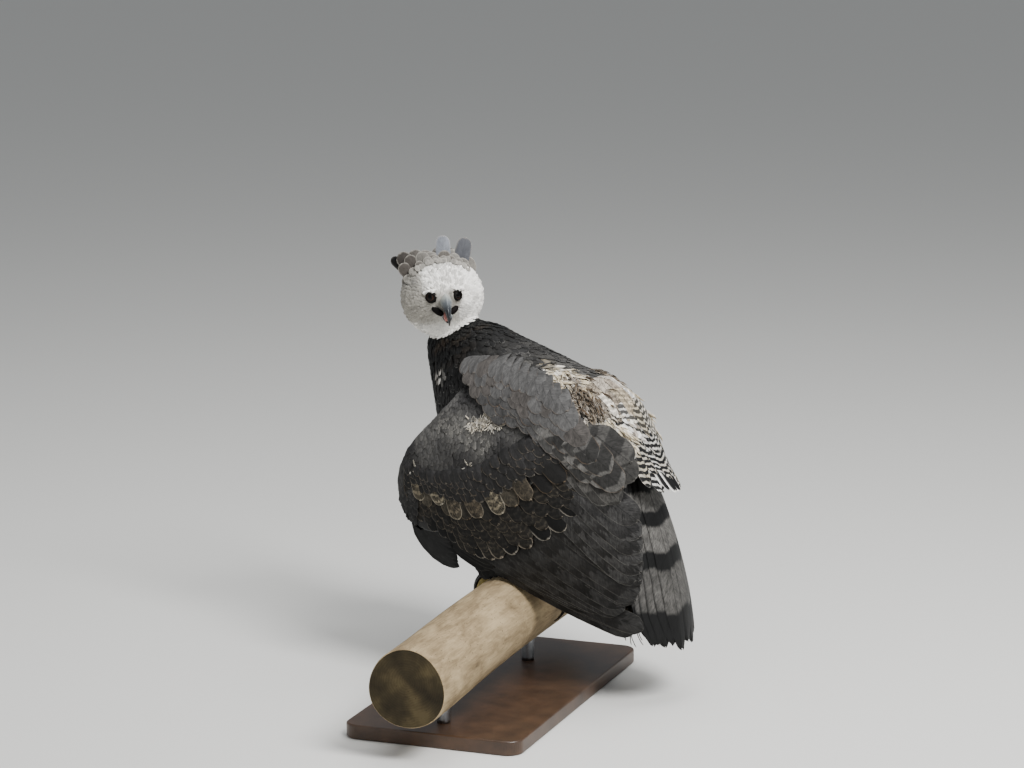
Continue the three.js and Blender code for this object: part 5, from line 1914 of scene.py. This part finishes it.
def make_lids(side, name):
    """Bare lids round the eye: the lower one round, the upper one drawn down and slanting to the
    bill, which gives the stern look."""
    gaze = GAZES[side]
    beside, above = eye_axes(side)
    turn = np.linspace(0, 2 * math.pi, 57)[:-1]
    wide, high = np.cos(turn), np.sin(turn)
    reach_wide, reach_high = LID_OPENINGS[side]
    opening = 1 / np.sqrt((wide / math.radians(reach_wide)) ** 2 + (high / math.radians(reach_high)) ** 2)
    opening = opening * (1 - 0.3 * np.maximum(high, 0) ** 2 * (1 + 0.35 * wide))
    spokes = beside * wide[:, None] + above * high[:, None]
    degrees, reach = np.array(LID_PROFILE).T
    angle = (opening[:, None] + np.radians(degrees))[..., None]
    rings = EYE_SPOTS[side] + reach[:, None] * (gaze * np.cos(angle) + spokes[:, None] * np.sin(angle))
    bm = bmesh.new()
    loft(bm, row(from_head(rings)), joined=True)
    finished(new_piece(f"eyelids_{name}", bm, lid_skin), "eye")


GAPES = {-1: (12.4, -14.6), 1: (10.4, 12.6)}  # half length, and how far to the left its middle lies


def make_gape(side, name):
    """The bare corner of the open mouth, aslant from the bill to the cheek: black, partly its own dark skin
    and partly painted shade of the gap inside.
    """
    bm = bmesh.new()
    bmesh.ops.create_uvsphere(bm, u_segments=32, v_segments=20, radius=1.0)
    half_length, aside = GAPES[side]
    for vert in bm.verts:
        q = (np.array(vert.co) * np.array([half_length, 4.2, 5.4])) @ gape_axes(side)
        vert.co = Vector(row(from_head(q + np.array([aside, -48.6, -21.4]))))
    finished(new_piece(f"gape_{name}", bm, gape_skin_and_shade), "mouth_flesh")


for side, name in SIDES:
    make_eye(side, name)
    make_lids(side, name)
    make_gape(side, name)


# Legs: bare shanks, toes with scutes, claws

TOES = {
    # place of the root along the log, how far the tip is carried along it, degrees over the log
    # from root to tip, radius at the root, and the claw's length in degrees
    "inner": dict(root=-14, carry=-18, start=-6, end=-52, thick=12, claw=56),
    "middle": dict(root=0, carry=3, start=-8, end=-76, thick=11, claw=44),
    "outer": dict(root=14, carry=8, start=-5, end=-36, thick=9.5, claw=54),
    "hind": dict(root=-5, carry=-6, start=8, end=50, thick=13, claw=66),
}
GAP = 0.3  # between toes or claws and the log


def toe_line(side, toe, t):
    radius = toe["thick"] * (1 - 0.22 * t + 0.07 * np.cos(t * 4 * math.pi))
    along = side * (FOOT_APART + toe["root"] + toe["carry"] * t)
    degrees = toe["start"] + (toe["end"] - toe["start"]) * t
    return at_log(along, degrees, LOG_RADIUS + radius + 2 * GAP), radius


def scuted(rings, pitch, depth):
    """Rings with low steps across their upper half, one for each scute."""
    middle = rings.mean(1, keepdims=True)
    travel = np.concatenate([[0], np.cumsum(np.linalg.norm(np.diff(middle[:, 0], axis=0), axis=1))])
    saw = (travel / pitch) % 1.0
    _, s = circle(rings.shape[1], 0.5)
    upper = np.clip(s, 0, 1) ** 0.5
    return middle + (rings - middle) * (1 + depth * saw[:, None] * upper)[..., None]


def make_leg(side, name):
    _, _, ankle, foot = leg_line(side)
    t = np.linspace(0, 1, 60)[:, None]
    path = ankle + (foot - ankle) * t
    radii = spline([[15], [14], [13.5], [15]], 60)[:, 0]
    rings = scuted(tube_rings(path, radii, 24, LEFT), 7.0, 0.07)
    finished(lofted(f"bare_shank_{name}", row(rings), leg_skin), "leg_scales", f"shank_{name}")
    bm = bmesh.new()
    pad = at_log(side * (FOOT_APART - 1), 0.0, LOG_RADIUS + 14.5)
    bmesh.ops.create_uvsphere(bm, u_segments=32, v_segments=20, radius=1.0)
    for vert in bm.verts:
        vert.co = Vector(row(pad + np.array(vert.co) * np.array([22, 19, 14])))
    for key, toe in TOES.items():
        t = np.linspace(0, 1, 48)
        path, radius = toe_line(side, toe, t)
        toe_rings = scuted(tube_rings(path, radius, 20, LOG_ALONG), 6.5, 0.07)
        loft(bm, row(toe_rings))
        claw_t = np.linspace(0, 1, 22)
        tip_radius = radius[-1]
        along = side * (FOOT_APART + toe["root"] + toe["carry"]) * (1 + 0.03 * claw_t)
        reach = (LOG_RADIUS + tip_radius + 2 * GAP) * (1 - claw_t**1.4) + (LOG_RADIUS + 2) * claw_t**1.4
        reach = reach + 9 * np.sin(math.pi * claw_t)
        degrees = toe["end"] + math.copysign(toe["claw"], toe["end"]) * claw_t
        claw_radii = tip_radius * 0.72 * (1 - claw_t**1.1) + 0.7 * claw_t**1.1
        claw = tube_rings(at_log(along, degrees, reach), claw_radii, 18, LOG_ALONG)
        piece = lofted(f"talon_{name}_{key}", row(claw), claw_horn)
        finished(piece, "claw_horn", f"claw_{name}_{key}")
    finished(new_piece(f"toes_{name}", bm, leg_skin), "leg_scales", f"foot_{name}")


for side, name in SIDES:
    make_leg(side, name)


# Log, rods and base


def make_log():
    """The log, its skewed near end cut clean with a narrow worn edge."""
    sides = 72
    inner = np.linspace(LOG_FAR_END + 4, LOG_NEAR_END - 4, 68)
    far_edge = [LOG_FAR_END + 0.3, LOG_FAR_END + 1.2]
    along = np.concatenate([far_edge, inner, [LOG_NEAR_END - 1.2, LOG_NEAR_END - 0.3]])
    turn = 2 * math.pi * np.arange(sides)[None] / sides
    away = smooth(along, 120, LOG_NEAR_END)[:, None]
    uneven = 0.022 * np.cos(2 * turn + 0.6) + 0.018 * np.cos(3 * turn + along[:, None] / 90)
    radius = LOG_RADIUS * (1 + away * uneven) - 0.4
    radius[[0, -1]] -= 1.6
    radius[[1, -2]] -= 0.5
    skew = -0.1 * smooth(along, LOG_NEAR_END - 80, LOG_NEAR_END)[:, None] * radius * np.sin(turn)
    rings = (
        -LOG_RADIUS * UP
        + UP * (radius * np.cos(turn))[..., None]
        + LOG_ACROSS * (radius * np.sin(turn))[..., None]
        + LOG_ALONG * (along[:, None] + skew)[..., None]
        - UP * 12 * (smooth(along, 60, LOG_NEAR_END + 200) * 1.3)[:, None, None]
    )
    log = lofted("cut_log", row(rings), log_wood)
    log.data.materials.append(cut_wood)
    for face in log.data.polygons:
        if len(face.vertices) > 4:
            face.material_index = 1
    finished(log, "weathered_wood", "perch_log")


make_log()


def make_stand():
    for i, along in enumerate(ROD_PLACES):
        foot = LOG_ALONG * along + UP * BASE_TOP
        path = foot + UP * np.linspace(0.2, ROD_LENGTH + 6, 10)[:, None]
        rings = tube_rings(path, np.full(10, ROD_RADIUS - 0.2), 40, LEFT)
        finished(lofted(f"steel_rod_{i + 1}", row(rings), steel), "stand_steel", f"stand_rod_{i + 1}")
    bm = bmesh.new()
    bmesh.ops.create_cube(bm, size=1.0)
    bmesh.ops.scale(bm, vec=Vector(BASE_SIZE) * MM, verts=bm.verts)
    shape = dict(profile=0.5, affect="EDGES", material=-1)
    upright = [e for e in bm.edges if abs(e.verts[0].co.z - e.verts[1].co.z) > 1e-4]
    bmesh.ops.bevel(bm, geom=upright, offset=BASE_CORNER * MM, segments=10, **shape)
    level = [e for e in bm.edges if abs(e.verts[0].co.z - e.verts[1].co.z) < 1e-4
             and len({round(f.normal.z, 2) for f in e.link_faces}) > 1]
    bmesh.ops.bevel(bm, geom=level, offset=BASE_EDGE * MM, segments=4, **shape)
    place = Matrix.Translation(Vector((0, 0, BASE_SIZE[2] / 2 * MM))) @ Matrix.Rotation(LOG_TURN, 4, "Z")
    bmesh.ops.transform(bm, matrix=place, verts=bm.verts)
    finished(new_piece("display_base", bm, stand_wood, smooth_faces=False), "stand_wood", "stand_base")


make_stand()


# Floor, light and camera


FLOOR_RADIUS = 40.0  # metres, so wide that its edge stays out of the camera's view
LIGHTS = (
    # place, width and watts
    ("key", (0.7, 2.6, 3.2), 1.4, 240.0),
    ("fill", (3.4, 0.4, 1.6), 2.4, 16.0),
    ("top", (-0.4, 0.2, 3.6), 2.4, 75.0),
)
LIT_PLACE = (-0.15, -0.05, 0.4)
CAMERA_PLACE = (4.2336, 2.9973, 1.5392)
CAMERA_AIM = (-0.1889, -0.0994, 0.4897)
LENS = 113.74
SENSOR_WIDTH = 36.0


def aimed(name, data, place, target):
    """A lamp or camera at a place, turned to a target."""
    made = placed(name, data)
    made.location = place
    aim = Vector(target) - made.location
    made.rotation_euler = aim.to_track_quat("-Z", "Y").to_euler()
    return made


def make_stage():
    bm = bmesh.new()
    bmesh.ops.create_circle(bm, cap_ends=True, segments=96, radius=FLOOR_RADIUS)
    material, _, _ = new_material("pale_floor", {"Roughness": 0.9, "Base Color": (*linear("#d9d8d4"), 1)})
    new_piece("floor", bm, material)
    world = bpy.data.worlds.new("studio")
    world.use_nodes = True
    feed(world.node_tree.nodes["Background"], {"Color": (*linear("#e4e8ec"), 1), "Strength": 0.42})
    bpy.context.scene.world = world
    for name, place, size, power in LIGHTS:
        light = bpy.data.lights.new(name, "AREA")
        light.size = size
        light.energy = power
        aimed(name, light, place, LIT_PLACE)


def make_camera():
    data = bpy.data.cameras.new("camera")
    data.lens = LENS
    data.sensor_width = SENSOR_WIDTH
    bpy.context.scene.camera = aimed("camera", data, CAMERA_PLACE, CAMERA_AIM)


make_stage()
make_camera()
